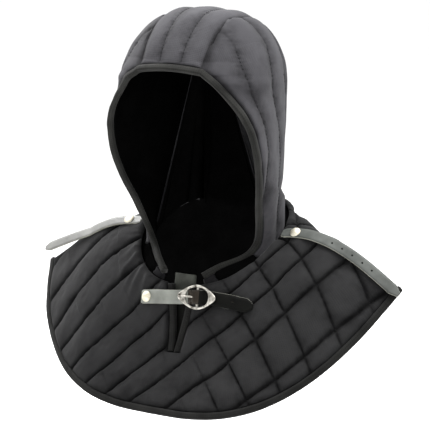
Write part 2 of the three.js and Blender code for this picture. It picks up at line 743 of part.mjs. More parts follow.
// The face binding runs from throat to throat: up one side, over the brow, down the other.
function addFaceBinding() {
  const stations = [];
  const sideStations = 28;
  const browStations = 8;
  const addStation = (at, tangent, up, inwards) => {
    const across = tangent.clone().cross(up).normalize();
    if (across.dot(inwards) < 0) across.negate();
    stations.push({ at, across, up: across.clone().cross(tangent).normalize() });
    const station = stations.at(-1);
    if (station.up.dot(up) < 0) station.up.negate();
  };
  const side = (sign, share) => {
    const down = lerp(browShare, SIDE_END, share);
    const at = frontEdge(down);
    const tangent = frontEdge(down + 0.006).sub(frontEdge(down - 0.006 * Math.min(1, share * 20)));
    const up = normalOf(sidePoint, down, 0.02);
    if (up.x < 0) up.negate();
    const inwards = sidePoint(down, 0.08).sub(at);
    for (const v of [at, tangent, up, inwards]) v.x *= sign;
    addStation(at, tangent.normalize(), up, inwards);
  };
  for (let i = sideStations; i >= 0; i--) side(-1, i / sideStations);
  for (let i = 1; i < browStations; i++) {
    const across = -1 + (2 * i) / browStations;
    const at = stripPoint(0, across);
    const tangent = stripPoint(0, across + 0.02).sub(stripPoint(0, across - 0.02)).normalize();
    const inwards = stripPoint(0.02, across).sub(at);
    const up = inwards.clone().cross(tangent).normalize();
    if (up.y > 0) up.negate();
    addStation(at, tangent, up, inwards);
  }
  for (let i = 0; i <= sideStations; i++) side(1, i / sideStations);
  coif.add(bar("face_binding", tape(), stations, () => boundSection(1)));
}
addFaceBinding();

// ---- The leather and metal at the throat ---------------------------------------------

// The tongue closes the slit from behind: a plate of leather against the lining.
const TONGUE_THICK = 2.4;
function addTongue() {
  const rows = [
    { z: -299, half: 14 },
    { z: -313, half: 15 },
    { z: -326, half: 21 },
    { z: -345, half: 20 },
    { z: -362, half: 17 },
    { z: -374, half: 13 },
    { z: -387, half: 9 },
  ];
  const behind = -(LINING_DEPTH + 2 * SEAM_GAP);
  const stations = rows.map((row) => {
    const place = onFront(SLIT.x, row.z);
    const up = place.normal.setX(0).normalize();
    return { at: place.at.addScaledVector(up, behind), across: vec(1, 0, 0), up };
  });
  const chestRadius = 95; // the plate bends round with the lining
  const shares = [-1, -0.5, 0, 0.5, 1];
  const plate = (share) => {
    const reach = rows[Math.round(share * (rows.length - 1))].half;
    const front = shares.map((k) => [k * reach, -((k * reach) ** 2) / (2 * chestRadius)]);
    const back = front.map(([x, z]) => [x, z - TONGUE_THICK]).reverse();
    return [...front, ...back];
  };
  coif.add(bar("throat_tongue", strapLeather(), stations, plate));
}
addTongue();

// The strap's line over the quilting, as a place, its way along, across and up.
const strapLine = evenly((share) => {
  const place = share * (FRONT_STRAP.length - 1);
  const found = onFront(between(FRONT_STRAP, "x", place), between(FRONT_STRAP, "z", place));
  return found.at.addScaledVector(found.normal, ON_QUILTING);
});
const strapLength = lengthOf(strapLine);
function lengthOf(curve) {
  let length = 0;
  for (let i = 0; i < 100; i++) length += curve(i / 100).distanceTo(curve((i + 1) / 100));
  return length;
}
function strapFrame(share) {
  const at = strapLine(share);
  const low = Math.max(share - 0.02, 0);
  const high = Math.min(share + 0.02, 1);
  const along = strapLine(high).sub(strapLine(low)).normalize();
  const cloth = onFront(at.x, at.z).normal;
  const across = cloth.clone().cross(along).normalize();
  if (across.z < 0) across.negate();
  const up = across.clone().cross(along).normalize();
  if (up.dot(cloth) < 0) up.negate();
  return { at, along, across, up };
}

// How high the strap's underside runs, by its distance from the buckle's bar: flat on the
// cloth, up over the bar with the chape folded round it, down onto the chape, and flat again.
const BAR_TOP = BUCKLE_BAR.height + BUCKLE_BAR.radius + SEAM_GAP + CHAPE.thick + SEAM_GAP;
const CHAPE_TOP = 2 * CHAPE.thick + 2 * SEAM_GAP;
function strapHeight(u) {
  if (u < 0) return lerp(BAR_TOP, 0, smooth(-u, 3, 12));
  const onChape = lerp(BAR_TOP, CHAPE_TOP, smooth(u, 3, 10.5));
  return lerp(onChape, 0, smooth(u, CHAPE.reach + 2, CHAPE.reach + 12));
}

// A flat strap with square edges, from half its width.
function flatSection(reach) {
  return [
    [-reach, 0],
    [reach, 0],
    [reach, STRAP_THICK],
    [-reach, STRAP_THICK],
  ];
}

// Turns a shape drawn along the strap (x), across it (y) and up from the cloth (z) into place.
const buckleFrame = strapFrame(BUCKLE.at);
function laidFlat(geometry) {
  const matrix = new THREE.Matrix4().makeBasis(buckleFrame.along, buckleFrame.across, buckleFrame.up);
  matrix.setPosition(buckleFrame.at);
  geometry.applyMatrix4(matrix);
  return geometry;
}
// The same, bent along the strap's own line.
function laidBent(geometry) {
  const places = geometry.getAttribute("position");
  for (let i = 0; i < places.count; i++) {
    const frame = strapFrame(BUCKLE.at + places.getX(i) / strapLength);
    const point = frame.at.addScaledVector(frame.across, places.getY(i));
    point.addScaledVector(frame.up, places.getZ(i));
    places.setXYZ(i, point.x, point.y, point.z);
  }
  return geometry;
}

const PRONG_SLOT = { from: -13, to: 6, half: 2.4 };
function slotBox() {
  const size = [PRONG_SLOT.to - PRONG_SLOT.from, 2 * PRONG_SLOT.half, 20];
  const box = new THREE.BoxGeometry(...size).translate((PRONG_SLOT.to + PRONG_SLOT.from) / 2, 0, 5);
  return solidOf(laidFlat(box));
}

function addFrontStrap() {
  const stations = [];
  const reaches = [];
  const steps = 48;
  for (let i = 0; i <= steps; i++) {
    const share = i / steps;
    const frame = strapFrame(share);
    const u = (share - BUCKLE.at) * strapLength;
    frame.at.addScaledVector(frame.up, strapHeight(u));
    stations.push(frame);
    const fromEnd = Math.min(share * strapLength + 6, (1 - share) * strapLength);
    reaches.push(lerp(0.4, 1, clamp(fromEnd / 8, 0, 1)) * (FRONT_STRAP_WIDTH / 2));
  }
  const strap = bar("strap", strapLeather(), stations, (s) => flatSection(reaches[Math.round(s * steps)]));
  coif.add(meshOf("front_strap", strapLeather(), solidOf(strap.geometry).subtract(slotBox())));
}
addFrontStrap();

// The chape: a short strap folded round the buckle's bar, both layers sewn flat behind it.
function addChape() {
  const inner = BUCKLE_BAR.radius + SEAM_GAP;
  const outer = inner + CHAPE.thick;
  const height = BUCKLE_BAR.height;
  const top = 2 * CHAPE.thick + SEAM_GAP;
  const outline = new THREE.Shape();
  outline.moveTo(CHAPE.reach, SEAM_GAP);
  for (let x = CHAPE.reach - 4; x >= 4; x -= 4) outline.lineTo(x, SEAM_GAP);
  for (let turn = -60; turn >= -320; turn -= 20) {
    outline.lineTo(outer * Math.cos(radians(turn)), height + outer * Math.sin(radians(turn)));
  }
  for (let x = 8; x <= CHAPE.reach; x += 4) outline.lineTo(x, top);
  const hole = new THREE.Path();
  for (let turn = 0; turn < 360; turn += 30) {
    const [x, y] = [inner * Math.cos(radians(turn)), height + inner * Math.sin(radians(turn))];
    if (turn === 0) hole.moveTo(x, y);
    else hole.lineTo(x, y);
  }
  outline.holes.push(hole);
  const fold = new THREE.ExtrudeGeometry(outline, { depth: CHAPE.width, bevelEnabled: false });
  fold.translate(0, 0, -CHAPE.width / 2).rotateX(Math.PI / 2);
  const solid = solidOf(laidBent(fold));
  coif.add(meshOf("buckle_chape", strapLeather(), solid.subtract(slotBox())));
}
addChape();

// The frame: a pointed oval with a round opening and its bar across the middle.
function addBuckle() {
  const steps = 9;
  const outline = [];
  for (let i = 0; i < 4 * steps; i++) {
    const turn = (Math.PI * i) / (2 * steps);
    const pointed = 0.22 * Math.abs(Math.cos(turn)) ** 6;
    const x = (BUCKLE.length / 2) * Math.cos(turn) * (0.78 + pointed);
    const y = (BUCKLE.width / 2) * Math.sin(turn) * (1 - 0.06 * Math.abs(Math.cos(turn)));
    outline.push(new THREE.Vector2(x, y));
  }
  const shape = new THREE.Shape(outline);
  const squared = (value) => Math.sign(value) * Math.abs(value) ** 0.77;
  const opening = outline.map((_, i) => {
    const turn = (Math.PI * i) / (2 * steps);
    const x = (BUCKLE.openLength / 2) * squared(Math.cos(turn));
    return new THREE.Vector2(x, (BUCKLE.openWidth / 2) * squared(Math.sin(turn)));
  });
  shape.holes.push(new THREE.Path(opening));
  const edge = 0.8;
  const plate = new THREE.ExtrudeGeometry(shape, {
    depth: BUCKLE.thick - 2 * edge,
    bevelThickness: edge,
    bevelSize: edge,
    bevelOffset: -edge,
    bevelSegments: 1,
  });
  plate.translate(0, 0, BUCKLE_BAR.height + BUCKLE.lift - BUCKLE.thick / 2 + edge);
  const places = plate.getAttribute("position");
  for (let i = 0; i < places.count; i++) {
    places.setZ(i, places.getZ(i) + BUCKLE.bow * (places.getX(i) / (BUCKLE.length / 2)) ** 2);
  }
  const rod = new THREE.CylinderGeometry(BUCKLE_BAR.radius, BUCKLE_BAR.radius, BUCKLE.openWidth + 3, 12);
  rod.translate(0, 0, BUCKLE_BAR.height);
  const frame = solidOf(laidFlat(plate)).add(solidOf(laidFlat(rod)));
  coif.add(meshOf("buckle_frame", buckleMetal(), frame));
}
addBuckle();

// The prong: an eye round the bar, then straight to rest on the frame's point.
function addProng() {
  const eye = BUCKLE_BAR.radius + SEAM_GAP + PRONG_RADIUS;
  const frameTop = BUCKLE_BAR.height + BUCKLE.lift + BUCKLE.thick / 2 + BUCKLE.bow;
  const rest = frameTop + SEAM_GAP + PRONG_RADIUS;
  const path = [[-BUCKLE.length / 2 + 1.5, rest]];
  const overBar = BUCKLE_BAR.height + eye + 0.6;
  for (let x = -18; x <= -4; x += 7) path.push([x, lerp(rest, overBar, (x + 22) / 18)]);
  for (let turn = 90; turn >= -170; turn -= 26) {
    path.push([eye * Math.cos(radians(turn)), BUCKLE_BAR.height + eye * Math.sin(radians(turn))]);
  }
  const { at, along, across, up } = buckleFrame;
  const stations = path.map(([x, z], i) => {
    const [x0, z0] = path[Math.max(i - 1, 0)];
    const [x1, z1] = path[Math.min(i + 1, path.length - 1)];
    const way = along.clone().multiplyScalar(x1 - x0).addScaledVector(up, z1 - z0).normalize();
    const place = at.clone().addScaledVector(along, x).addScaledVector(up, z);
    return { at: place, across, up: across.clone().cross(way).normalize() };
  });
  const round = () =>
    Array.from({ length: 8 }, (_, k) => {
      const turn = (Math.PI * k) / 4;
      return [PRONG_RADIUS * Math.cos(turn), PRONG_RADIUS * Math.sin(turn)];
    });
  coif.add(bar("buckle_prong", buckleMetal(), stations, round));
}
addProng();

// A domed rivet head, seated on whatever lies under it.
function addRivet(name, at, up) {
  const profile = [
    new THREE.Vector2(0, 0),
    new THREE.Vector2(RIVET.radius, 0),
    new THREE.Vector2(RIVET.radius, RIVET.height * 0.35),
    new THREE.Vector2(RIVET.radius * 0.78, RIVET.height * 0.75),
    new THREE.Vector2(RIVET.radius * 0.42, RIVET.height * 0.95),
    new THREE.Vector2(0, RIVET.height),
  ];
  const head = new THREE.LatheGeometry(profile, 20);
  const turn = new THREE.Quaternion().setFromUnitVectors(vec(0, 1, 0), up);
  head.applyQuaternion(turn).translate(at.x, at.y, at.z);
  coif.add(meshOf(name, rivetMetal(), solidOf(head)));
}
const frontRivet = strapFrame(8 / strapLength);
frontRivet.at.addScaledVector(frontRivet.up, STRAP_THICK + SEAM_GAP);
addRivet("front_rivet", frontRivet.at, frontRivet.up);

// ---- The shoulder straps -------------------------------------------------------------

// The strap's ends by the way down the mantle, the step forward from the shoulder seam, the
// rivet's distance from the end, and how far the right one settles towards its low shoulder.
const SHOULDER_STRAP = { from: 0.05, to: 1, forward: 7.5, rivet: 19, settle: 9 };

// A strap's line lies on the front panel, a little in front of the shoulder seam.
function addShoulderStrap(side, seated, name, rivetName) {
  const steps = 24;
  const place = (share) => {
    const down = lerp(SHOULDER_STRAP.from, SHOULDER_STRAP.to, share);
    const spread = mantlePoint(FRONT_LINES, 5, down, 1).distanceTo(mantlePoint(FRONT_LINES, 6, down, 1));
    const fromEdge = (SHOULDER_STRAP.forward / spread / (FRONT_LINES.length - 1)) * 0.5;
    const across = side > 0 ? 1 - fromEdge : fromEdge;
    const at = frontPanel(across, down);
    const up = normalOf(frontPanel, across, down);
    if (up.z < 0) up.negate();
    const clear = droopAt(-at.x) - SHOULDER_STRAP.settle * Math.sin(Math.PI * share);
    if (side < 0) at.z += Math.max(clear, 0); // the low shoulder leaves the strap standing off
    const pressed = seated * (1 - smooth(share, 0.08, 0.3)); // the rivet draws its end into the quilting
    return { at: at.addScaledVector(up, ON_QUILTING - pressed), up };
  };
  const length = lengthOf((share) => place(share).at);
  const stations = [];
  const reaches = [];
  for (let i = 0; i <= steps; i++) {
    const share = i / steps;
    const { at, up } = place(share);
    const way = place(Math.min(share + 0.03, 1)).at.sub(place(Math.max(share - 0.03, 0)).at).normalize();
    const across = up.clone().cross(way).normalize();
    stations.push({ at, across, up: way.clone().cross(across).normalize() });
    const fromEnd = Math.min(share * length + 5, (1 - share) * length);
    reaches.push(lerp(0.4, 1, clamp(fromEnd / 9, 0, 1)) * (SHOULDER_STRAP_WIDTH / 2));
  }
  coif.add(bar(name, strapLeather(), stations, (s) => flatSection(reaches[Math.round(s * steps)])));
  const under = stations[Math.round((SHOULDER_STRAP.rivet / length) * steps)];
  const seat = under.at.clone().addScaledVector(under.up, STRAP_THICK + SEAM_GAP);
  addRivet(rivetName, seat, under.up);
}
addShoulderStrap(1, 1.7, "shoulder_strap_left", "shoulder_rivet_left");
addShoulderStrap(-1, 0.6, "shoulder_strap_right", "shoulder_rivet_right");

export default coif;
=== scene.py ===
"""Looks for a padded arming coif, a quilted hood with a quilted mantle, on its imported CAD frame."""

import math

import bpy
import numpy as np
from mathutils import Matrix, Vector


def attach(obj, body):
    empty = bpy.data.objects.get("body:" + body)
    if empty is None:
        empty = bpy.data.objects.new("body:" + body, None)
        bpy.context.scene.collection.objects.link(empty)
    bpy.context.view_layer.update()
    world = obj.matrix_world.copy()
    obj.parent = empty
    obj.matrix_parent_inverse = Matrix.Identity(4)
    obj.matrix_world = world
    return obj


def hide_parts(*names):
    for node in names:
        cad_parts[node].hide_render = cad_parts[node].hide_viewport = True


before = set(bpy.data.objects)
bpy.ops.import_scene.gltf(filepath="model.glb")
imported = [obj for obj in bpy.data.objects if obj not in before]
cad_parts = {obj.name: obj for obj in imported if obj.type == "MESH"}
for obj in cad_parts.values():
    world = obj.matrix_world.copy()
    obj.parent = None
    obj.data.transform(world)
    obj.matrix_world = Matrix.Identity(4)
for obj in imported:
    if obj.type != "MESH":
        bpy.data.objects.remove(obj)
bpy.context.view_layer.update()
coif_scene = bpy.context.scene

# ---- Camera --------------------------------------------------------------------------
# A long lens in front of the wearer's left shoulder, a little above the coif, so that the
# near shoulder and the far one show at nearly the same scale.
view_turn, view_rise, view_distance = math.radians(32), math.radians(10.5), 2.1
view_target = Vector((-0.00284, 0.02322, -0.24291))
level = math.cos(view_rise)
toward_camera = Vector((math.sin(view_turn) * level, -math.cos(view_turn) * level, math.sin(view_rise)))
lens = bpy.data.cameras.new("camera")
lens.lens = 146.5
lens.sensor_width = 36
lens.clip_end = 50
camera = bpy.data.objects.new("camera", lens)
camera.location = view_target + toward_camera * view_distance
camera.rotation_euler = toward_camera.to_track_quat("Z", "Y").to_euler()
coif_scene.collection.objects.link(camera)
coif_scene.camera = camera


# ---- Light and floor -----------------------------------------------------------------
# A white studio: a bright even surround, one lamp overhead, a strong and a weak one from each
# side, most of them a little behind the hood, and a white floor well below the hem.
def soft_lamp(name, place, size, power):
    lamp = bpy.data.lights.new(name, "AREA")
    lamp.shape = "DISK"
    lamp.size = size
    lamp.energy = power
    holder = bpy.data.objects.new(name, lamp)
    holder.location = place
    aim = Vector(place) - Vector((0, 0, -0.25))
    holder.rotation_euler = aim.to_track_quat("Z", "Y").to_euler()
    coif_scene.collection.objects.link(holder)


soft_lamp("lamp_high", (-0.4, -0.1, 1.95), 1.0, 50)
soft_lamp("lamp_left_back", (0.8, 0.45, 1.8), 1.0, 84)
soft_lamp("lamp_left", (1.76, -0.41, 1.01), 1.0, 8)
soft_lamp("lamp_right_back", (-1.49, 0.79, 1.16), 1.0, 60)
soft_lamp("lamp_right", (-1.7, -0.6, 1.1), 1.0, 18)

surround = bpy.data.worlds.new("surround")
surround.use_nodes = True
surround.node_tree.nodes["Background"].inputs["Color"].default_value = (1, 1, 1, 1)
surround.node_tree.nodes["Background"].inputs["Strength"].default_value = 1.06
coif_scene.world = surround
coif_scene.view_settings.view_transform = "Standard"


class Paint:
    """A material whose Principled shader takes its inputs from a few procedural nodes."""

    def __init__(self, name, **uniform):
        self.material = bpy.data.materials.new(name)
        self.material.use_nodes = True
        self.tree = self.material.node_tree
        self.shader = self.tree.nodes["Principled BSDF"]
        for key, value in uniform.items():
            self.shader.inputs[key.replace("_", " ")].default_value = value

    def node(self, kind, **values):
        made = self.tree.nodes.new("ShaderNode" + kind)
        for key, value in values.items():
            if hasattr(made, key):
                setattr(made, key, value)
            else:
                made.inputs[key.replace("_", " ")].default_value = value
        return made

    def ramp(self, dark, light, low=0.0, high=1.0):
        made = self.node("ValToRGB")
        first, last = made.color_ramp.elements
        first.position, last.position = low, high
        first.color, last.color = (*dark, 1), (*light, 1)
        return made

    def link(self, source, out, target, into):
        self.tree.links.new(source.outputs[out], target.inputs[into])


floor_reach, floor_level = 14, -0.78
floor_mesh = bpy.data.meshes.new("floor")
quarters = ((-1, -1), (1, -1), (1, 1), (-1, 1))
corners = [(x * floor_reach, y * floor_reach, floor_level) for x, y in quarters]
floor_mesh.from_pydata(corners, [], [(0, 1, 2, 3)])
floor = bpy.data.objects.new("floor", floor_mesh)
coif_scene.collection.objects.link(floor)
floor_paint = Paint("floor_paint", Roughness=0.9, Specular_IOR_Level=0.1)
floor_speckle = floor_paint.node("TexNoise", Scale=3.0)
floor_tint = floor_paint.ramp((0.95, 0.95, 0.95), (0.98, 0.98, 0.98))
floor_paint.link(floor_speckle, "Fac", floor_tint, "Fac")
floor_paint.link(floor_tint, "Color", floor_paint.shader, "Base Color")
floor_mesh.materials.append(floor_paint.material)

# ---- Hood sides ----------------------------------------------------------------------
# Two mirrored pieces of heavy cotton over wadding and a dark lining, stitched through in
# upright channels and joined to the crown strip by a plain seam. The form's sizes below are
# the CAD part's, in millimetres.
MM = 0.001
LINING_DEPTH, HOOD_PUFF = 4.5, 2.8
CROWN_TOP, CROWN_TOP_Y, WIDEST_Y = 4.5, -5, -42
HALF_WIDTH, NECK_NARROWING, BROW_REACH, NAPE_REACH = 96, 12, 80, 112
STRIP_HALF, STRIP_SWELL, STRIP_Y, STRIP_Z = 42, 7, 8, -105
NECK_X, NECK_Y, NECK_MID_Y, NECK_MID_Z, NECK_TILT = 85, 72, 17, -268, 44
FACE_EDGE = np.array(
    [  # x, y, z, from the brow's corner down to the throat
        (42, -84, -62),
        (55, -81, -72),
        (68, -76, -85),
        (80, -72, -98),
        (90, -68, -112),
        (97, -63, -129),
        (100, -57, -150),
        (99, -50, -172),
        (94, -41, -196),
        (87, -30, -220),
        (80, -19, -244),
        (72, -13, -264),
        (59, -19, -278),
        (40, -40, -287),
        (20, -56, -301),
    ],
    float,
)


def clamp01(x):
    return np.clip(x, 0, 1)


def smooth(x, low, high):
    t = clamp01((np.asarray(x, float) - low) / (high - low))
    return t * t * (3 - 2 * t)


def blend(a, b, t):
    return a + (b - a) * t


def through(rows, place):
    """Rows of a table at places between them, on a smooth curve through the rows."""
    rows = np.asarray(rows, float)
    flat = rows.reshape(len(rows), -1)
    flat = np.vstack([2 * flat[0] - flat[1], flat, 2 * flat[-1] - flat[-2]])
    place = np.asarray(place, float)
    i = np.clip(np.floor(place).astype(int), 0, len(rows) - 2)
    t = (place - i)[..., None]
    a, b, c, d = (flat[i + k] for k in range(4))
    m, n = (c - a) / 2, (d - b) / 2
    value = b + t * m + t * t * (3 * (c - b) - 2 * m - n) + t**3 * (2 * (b - c) + m + n)
    return value if rows.ndim > 1 else value[..., 0]


def run_lengths(line):
    """How far along a line of points each of them lies."""
    return np.concatenate([[0], np.cumsum(np.linalg.norm(np.diff(line, axis=0), axis=1))])


def evenly(curve, samples=1200):
    """The curve again, with equal shares along it of equal length."""
    points = curve(np.linspace(0, 1, samples + 1))
    far = run_lengths(points)

    def even(share):
        share = np.asarray(share, float)
        return np.stack([np.interp(share * far[-1], far, points[:, k]) for k in range(3)], -1)

    even.length = far[-1]
    return even


def neck_point(degrees, out=0.0, up=0.0):
    """The neck seam's ring: degrees round it from the throat, moved out and up."""
    a = np.radians(degrees)
    x, y = (NECK_X + out) * np.sin(a), NECK_MID_Y - (NECK_Y + out) * np.cos(a)
    return np.stack([x, y, NECK_MID_Z - NECK_TILT * np.cos(a) + up], -1)


def opened(drop, depth, power):
    """How far a rounded top has opened out at a drop below it, from 0 to 1 at its full depth."""
    return (1 - (1 - clamp01(drop / depth)) ** power) ** (1 / power)


def half_width(y, z):
    """Half the hood's width at a place of its side view."""
    drop = CROWN_TOP - z
    widest = HALF_WIDTH * opened(drop, 100, 2.4) - NECK_NARROWING * smooth(-z, 190, 300)
    middle = blend(CROWN_TOP_Y, WIDEST_Y, smooth(drop, 0, 150))
    front = CROWN_TOP_Y - BROW_REACH * opened(drop, 95, 2) - np.maximum(0, -50 - z) * 0.45
    back = CROWN_TOP_Y + NAPE_REACH * opened(drop, 110, 2.3)
    back = back - 20 * (np.maximum(0, -115 - z) / 110) ** 2
    behind = y > middle
    reach = np.where(behind, back - middle, middle - front)
    share = np.abs(y - middle) / np.maximum(reach, 1e-6)
    power = np.where(behind, 2.0, 2.05)
    width = widest * (1 - np.clip(share, 0, 1) ** power) ** (1 / power)
    return np.where((drop <= 0) | (share >= 1), 0, width)


def on_hood(x, angle):
    """The hood's surface at a distance x from the middle, in a direction seen from the side."""
    near = np.full(np.broadcast(x, angle).shape, 20.0)
    far = np.full(near.shape, 190.0)
    for _ in range(40):
        r = (near + far) / 2
        width = half_width(STRIP_Y + r * np.cos(angle), STRIP_Z + r * np.sin(angle))
        inside = (width > 0) & (width >= x)
        near, far = np.where(inside, r, near), np.where(inside, far, r)
    y, z = STRIP_Y + near * np.cos(angle), STRIP_Z + near * np.sin(angle)
    return np.stack([x + 0 * near, y, z], -1)


def strip_angle(y, z):
    return np.arctan2(z - STRIP_Z, y - STRIP_Y)


def strip_point(along, across):
    """The crown strip's surface: from brow (0) to nape (1), across from -1 to 1."""
    off = np.abs(across) * (STRIP_HALF + STRIP_SWELL * np.sin(math.pi * along))
    start = np.minimum(off, STRIP_HALF)
    brow_mid = strip_angle(FACE_EDGE[0, 1] - 2, FACE_EDGE[0, 2] + 3)
    brow_end = strip_angle(FACE_EDGE[0, 1], FACE_EDGE[0, 2])
    nape = neck_point(180 - np.degrees(np.arcsin(start / NECK_X)))
    at_brow = blend(brow_mid, brow_end, (start / STRIP_HALF) ** 2)
    point = on_hood(off, blend(at_brow, strip_angle(nape[..., 1], nape[..., 2]), along))
    point[..., 0] = off * np.sign(across)
    return point


def joined(first, second, share):
    """One curve after another, the first over a share of the whole."""

    def curve(t):
        a = first(np.minimum(t / share, 1))
        b = second(np.clip((t - share) / (1 - share), 0, 1))
        return np.where((t < share)[:, None], a, b)

    return curve


def seam_curve(along):
    return strip_point(along, np.ones_like(along))


seam_tries = np.linspace(0, 1, 401)
seam_top = seam_tries[np.argmax(seam_curve(seam_tries)[:, 2])]
brow = seam_curve(np.array([0.0]))[0]
nape_corner = 180 - math.degrees(math.asin(STRIP_HALF / NECK_X))
throat_corner = math.degrees(math.asin(FACE_EDGE[-1, 0] / NECK_X))


def face_point(share):
    place = share * (len(FACE_EDGE) - 1)
    return through(FACE_EDGE, place) + (brow - FACE_EDGE[0]) * np.clip(1 - place, 0, 1)[:, None]


def up_front(t):
    return seam_curve(blend(seam_top, 0, t))


def down_back(t):
    return seam_curve(blend(seam_top, 1, t))


def round_neck(t):
    return neck_point(blend(nape_corner, throat_corner, t))


front_edge = evenly(joined(up_front, face_point, 0.28))
back_edge = evenly(joined(down_back, round_neck, 0.6))
edge_tries = np.linspace(0, 1, 1601)
brow_share = edge_tries[np.argmin(np.linalg.norm(front_edge(edge_tries) - brow, axis=1))]


def side_point(down, back):
    """The wearer's left side: down from the crown to the throat, back from its front edge."""
    front, rear = front_edge(down), back_edge(down)
    y, z = (blend(front[..., k], rear[..., k], back) for k in (1, 2))
    at_front = front[..., 0] - half_width(front[..., 1], front[..., 2])
    at_rear = rear[..., 0] - half_width(rear[..., 1], rear[..., 2])
    power = 1 + smooth(np.linalg.norm(front - rear, axis=-1), 40, 120)
    x = half_width(y, z) + at_front * (1 - back) ** power + at_rear * back**power
    return np.stack([x, y, z], -1)


def side_channel(point):
    """Level distance round the side from its middle, for the upright stitch lines."""
    x, y, z = point[..., 0], point[..., 1], point[..., 2]
    lean = 14 * np.exp(-(((z + 80) / 45) ** 2)) + 16 * smooth(z, -130, -50)
    return np.where(y < 40, y + lean, 40 + 90 * np.arctan2(y - 40, np.abs(x)))


def swell(place, pitch, power):
    """The padding's rounded rise between stitch lines a pitch apart, from 0 to 1."""
    return np.abs(np.sin(math.pi * place / pitch)) ** power


def beside_line(place, pitch, width):
    """1 on the nearest stitch line, falling off over a width to both of its sides."""
    off = (place / pitch + 0.5) % 1 - 0.5
    return np.exp(-((off * pitch / width) ** 2))


def unit(v):
    return v / np.maximum(np.linalg.norm(v, axis=-1, keepdims=True), 1e-9)


def uneven(u, v, seed, octaves=3):
    """Smooth random unevenness about 0, the same for the same seed."""
    total, size = 0, 1.0
    for k in range(octaves):
        lattice = np.random.default_rng(seed + k).standard_normal((64, 64))
        a, b = np.asarray(u) * 2**k, np.asarray(v) * 2**k
        i, j = np.floor(a).astype(int), np.floor(b).astype(int)
        s, t = smooth(a - i, 0, 1), smooth(b - j, 0, 1)
        i, j, i1, j1 = i % 64, j % 64, (i + 1) % 64, (j + 1) % 64
        top = blend(lattice[i, j], lattice[i1, j], s)
        low = blend(lattice[i, j1], lattice[i1, j1], s)
        total = total + size * blend(top, low, t)
        size *= 0.5
    return total


def grid_normals(points, outward):
    """Unit normals of a grid of points, turned to the side of the outward directions."""
    normal = unit(np.cross(np.gradient(points, axis=0), np.gradient(points, axis=1)))
    return np.where((normal * outward).sum(-1, keepdims=True) < 0, -normal, normal)


def arc_places(points):
    """Distances along a grid's two ways, in metres, for its weave."""
    ways = []
    for axis in (0, 1):
        steps = np.linalg.norm(np.diff(points, axis=axis), axis=-1)
        edge = np.zeros_like(np.take(steps, [0], axis))
        ways.append(np.concatenate([edge, np.cumsum(steps, axis)], axis) * MM)
    return ways[0].mean(1, keepdims=True) + 0 * ways[1], ways[1]


def piece(name, points, faces, materials, shade_and_wear=None, uv=None, face_materials=None):
    """A mesh piece in metres that rides with the coif, from points in millimetres."""
    mesh = bpy.data.meshes.new(name)
    mesh.from_pydata((np.asarray(points) * MM).tolist(), [], faces)
    for material in materials:
        mesh.materials.append(material)
    if face_materials is not None:
        mesh.polygons.foreach_set("material_index", face_materials)
    # The tone attribute: painted light and shade for the cloth's colour, with some rubbed wear.
    if shade_and_wear is not None:
        layer = mesh.attributes.new("shade_and_wear", "FLOAT", "POINT")
        layer.data.foreach_set("value", np.asarray(shade_and_wear, np.float32))
    if uv is not None:
        corner = np.zeros(len(mesh.loops), np.int32)
        mesh.loops.foreach_get("vertex_index", corner)
        layer = mesh.uv_layers.new(name="cloth")
        layer.data.foreach_set("uv", np.asarray(uv, np.float32)[corner].ravel())
    mesh.polygons.foreach_set("use_smooth", [True] * len(mesh.polygons))
    mesh.validate()
    mesh.update()
    made = bpy.data.objects.new(name, mesh)
    coif_scene.collection.objects.link(made)
    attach(made, "root")
    return made


def shell(name, outer, inner, step, outward, materials, shade_and_wear, keep=None):
    """A closed cloth wall: a fine outside, an inside `step` times coarser and a rim between."""
    m, n = outer.shape[:2]
    cells = (m - 1) // step, (n - 1) // step
    keep = np.ones(cells, bool) if keep is None else keep
    fine = np.arange(m * n).reshape(m, n)
    coarse = inner[::step, ::step]
    plain = m * n + np.arange(coarse[..., 0].size).reshape(coarse.shape[:2])
    quads = np.stack([fine[:-1, :-1], fine[1:, :-1], fine[1:, 1:], fine[:-1, 1:]], -1)
    faces = quads[np.repeat(np.repeat(keep, step, 0), step, 1)].tolist()
    shown = len(faces)
    quads = np.stack([plain[:-1, :-1], plain[:-1, 1:], plain[1:, 1:], plain[1:, :-1]], -1)
    faces += quads[keep].tolist()
    beyond = np.pad(keep, 1)
    corners = ((0, 0), (1, 0), (1, 1), (0, 1))
    neighbours = ((0, -1), (1, 0), (0, 1), (-1, 0))
    for i, j in np.argwhere(keep):
        for k, (aside, below) in enumerate(neighbours):
            if beyond[i + 1 + aside, j + 1 + below]:
                continue
            first, last = ((i + a, j + b) for a, b in (corners[k], corners[(k + 1) % 4]))
            run = np.rint(np.linspace(first, last, step + 1) * step).astype(int)
            faces.append([*fine[run[:, 0], run[:, 1]][::-1].tolist(), int(plain[first]), int(plain[last])])
    marks = [0] * shown + [1] * (len(faces) - shown)
    middle = outer[m // 2, n // 2]
    spin = np.cross(outer[m // 2 + 1, n // 2] - middle, outer[m // 2, n // 2 + 1] - middle)
    turned = spin @ outward[m // 2, n // 2] < 0
    points = np.concatenate([outer.reshape(-1, 3), coarse.reshape(-1, 3)])
    uv = np.stack(arc_places(outer), -1)
    uv = np.concatenate([uv.reshape(-1, 2), uv[::step, ::step].reshape(-1, 2)])
    tops = np.concatenate([shade_and_wear.ravel(), np.full(coarse[..., 0].size, 0.5)])
    used = np.zeros(len(points), bool)
    used[np.concatenate(faces)] = True
    fresh = np.cumsum(used) - 1
    faces = [fresh[face[::-1] if turned else face].tolist() for face in faces]
    return piece(name, points[used], faces, materials, tops[used], uv[used], marks)


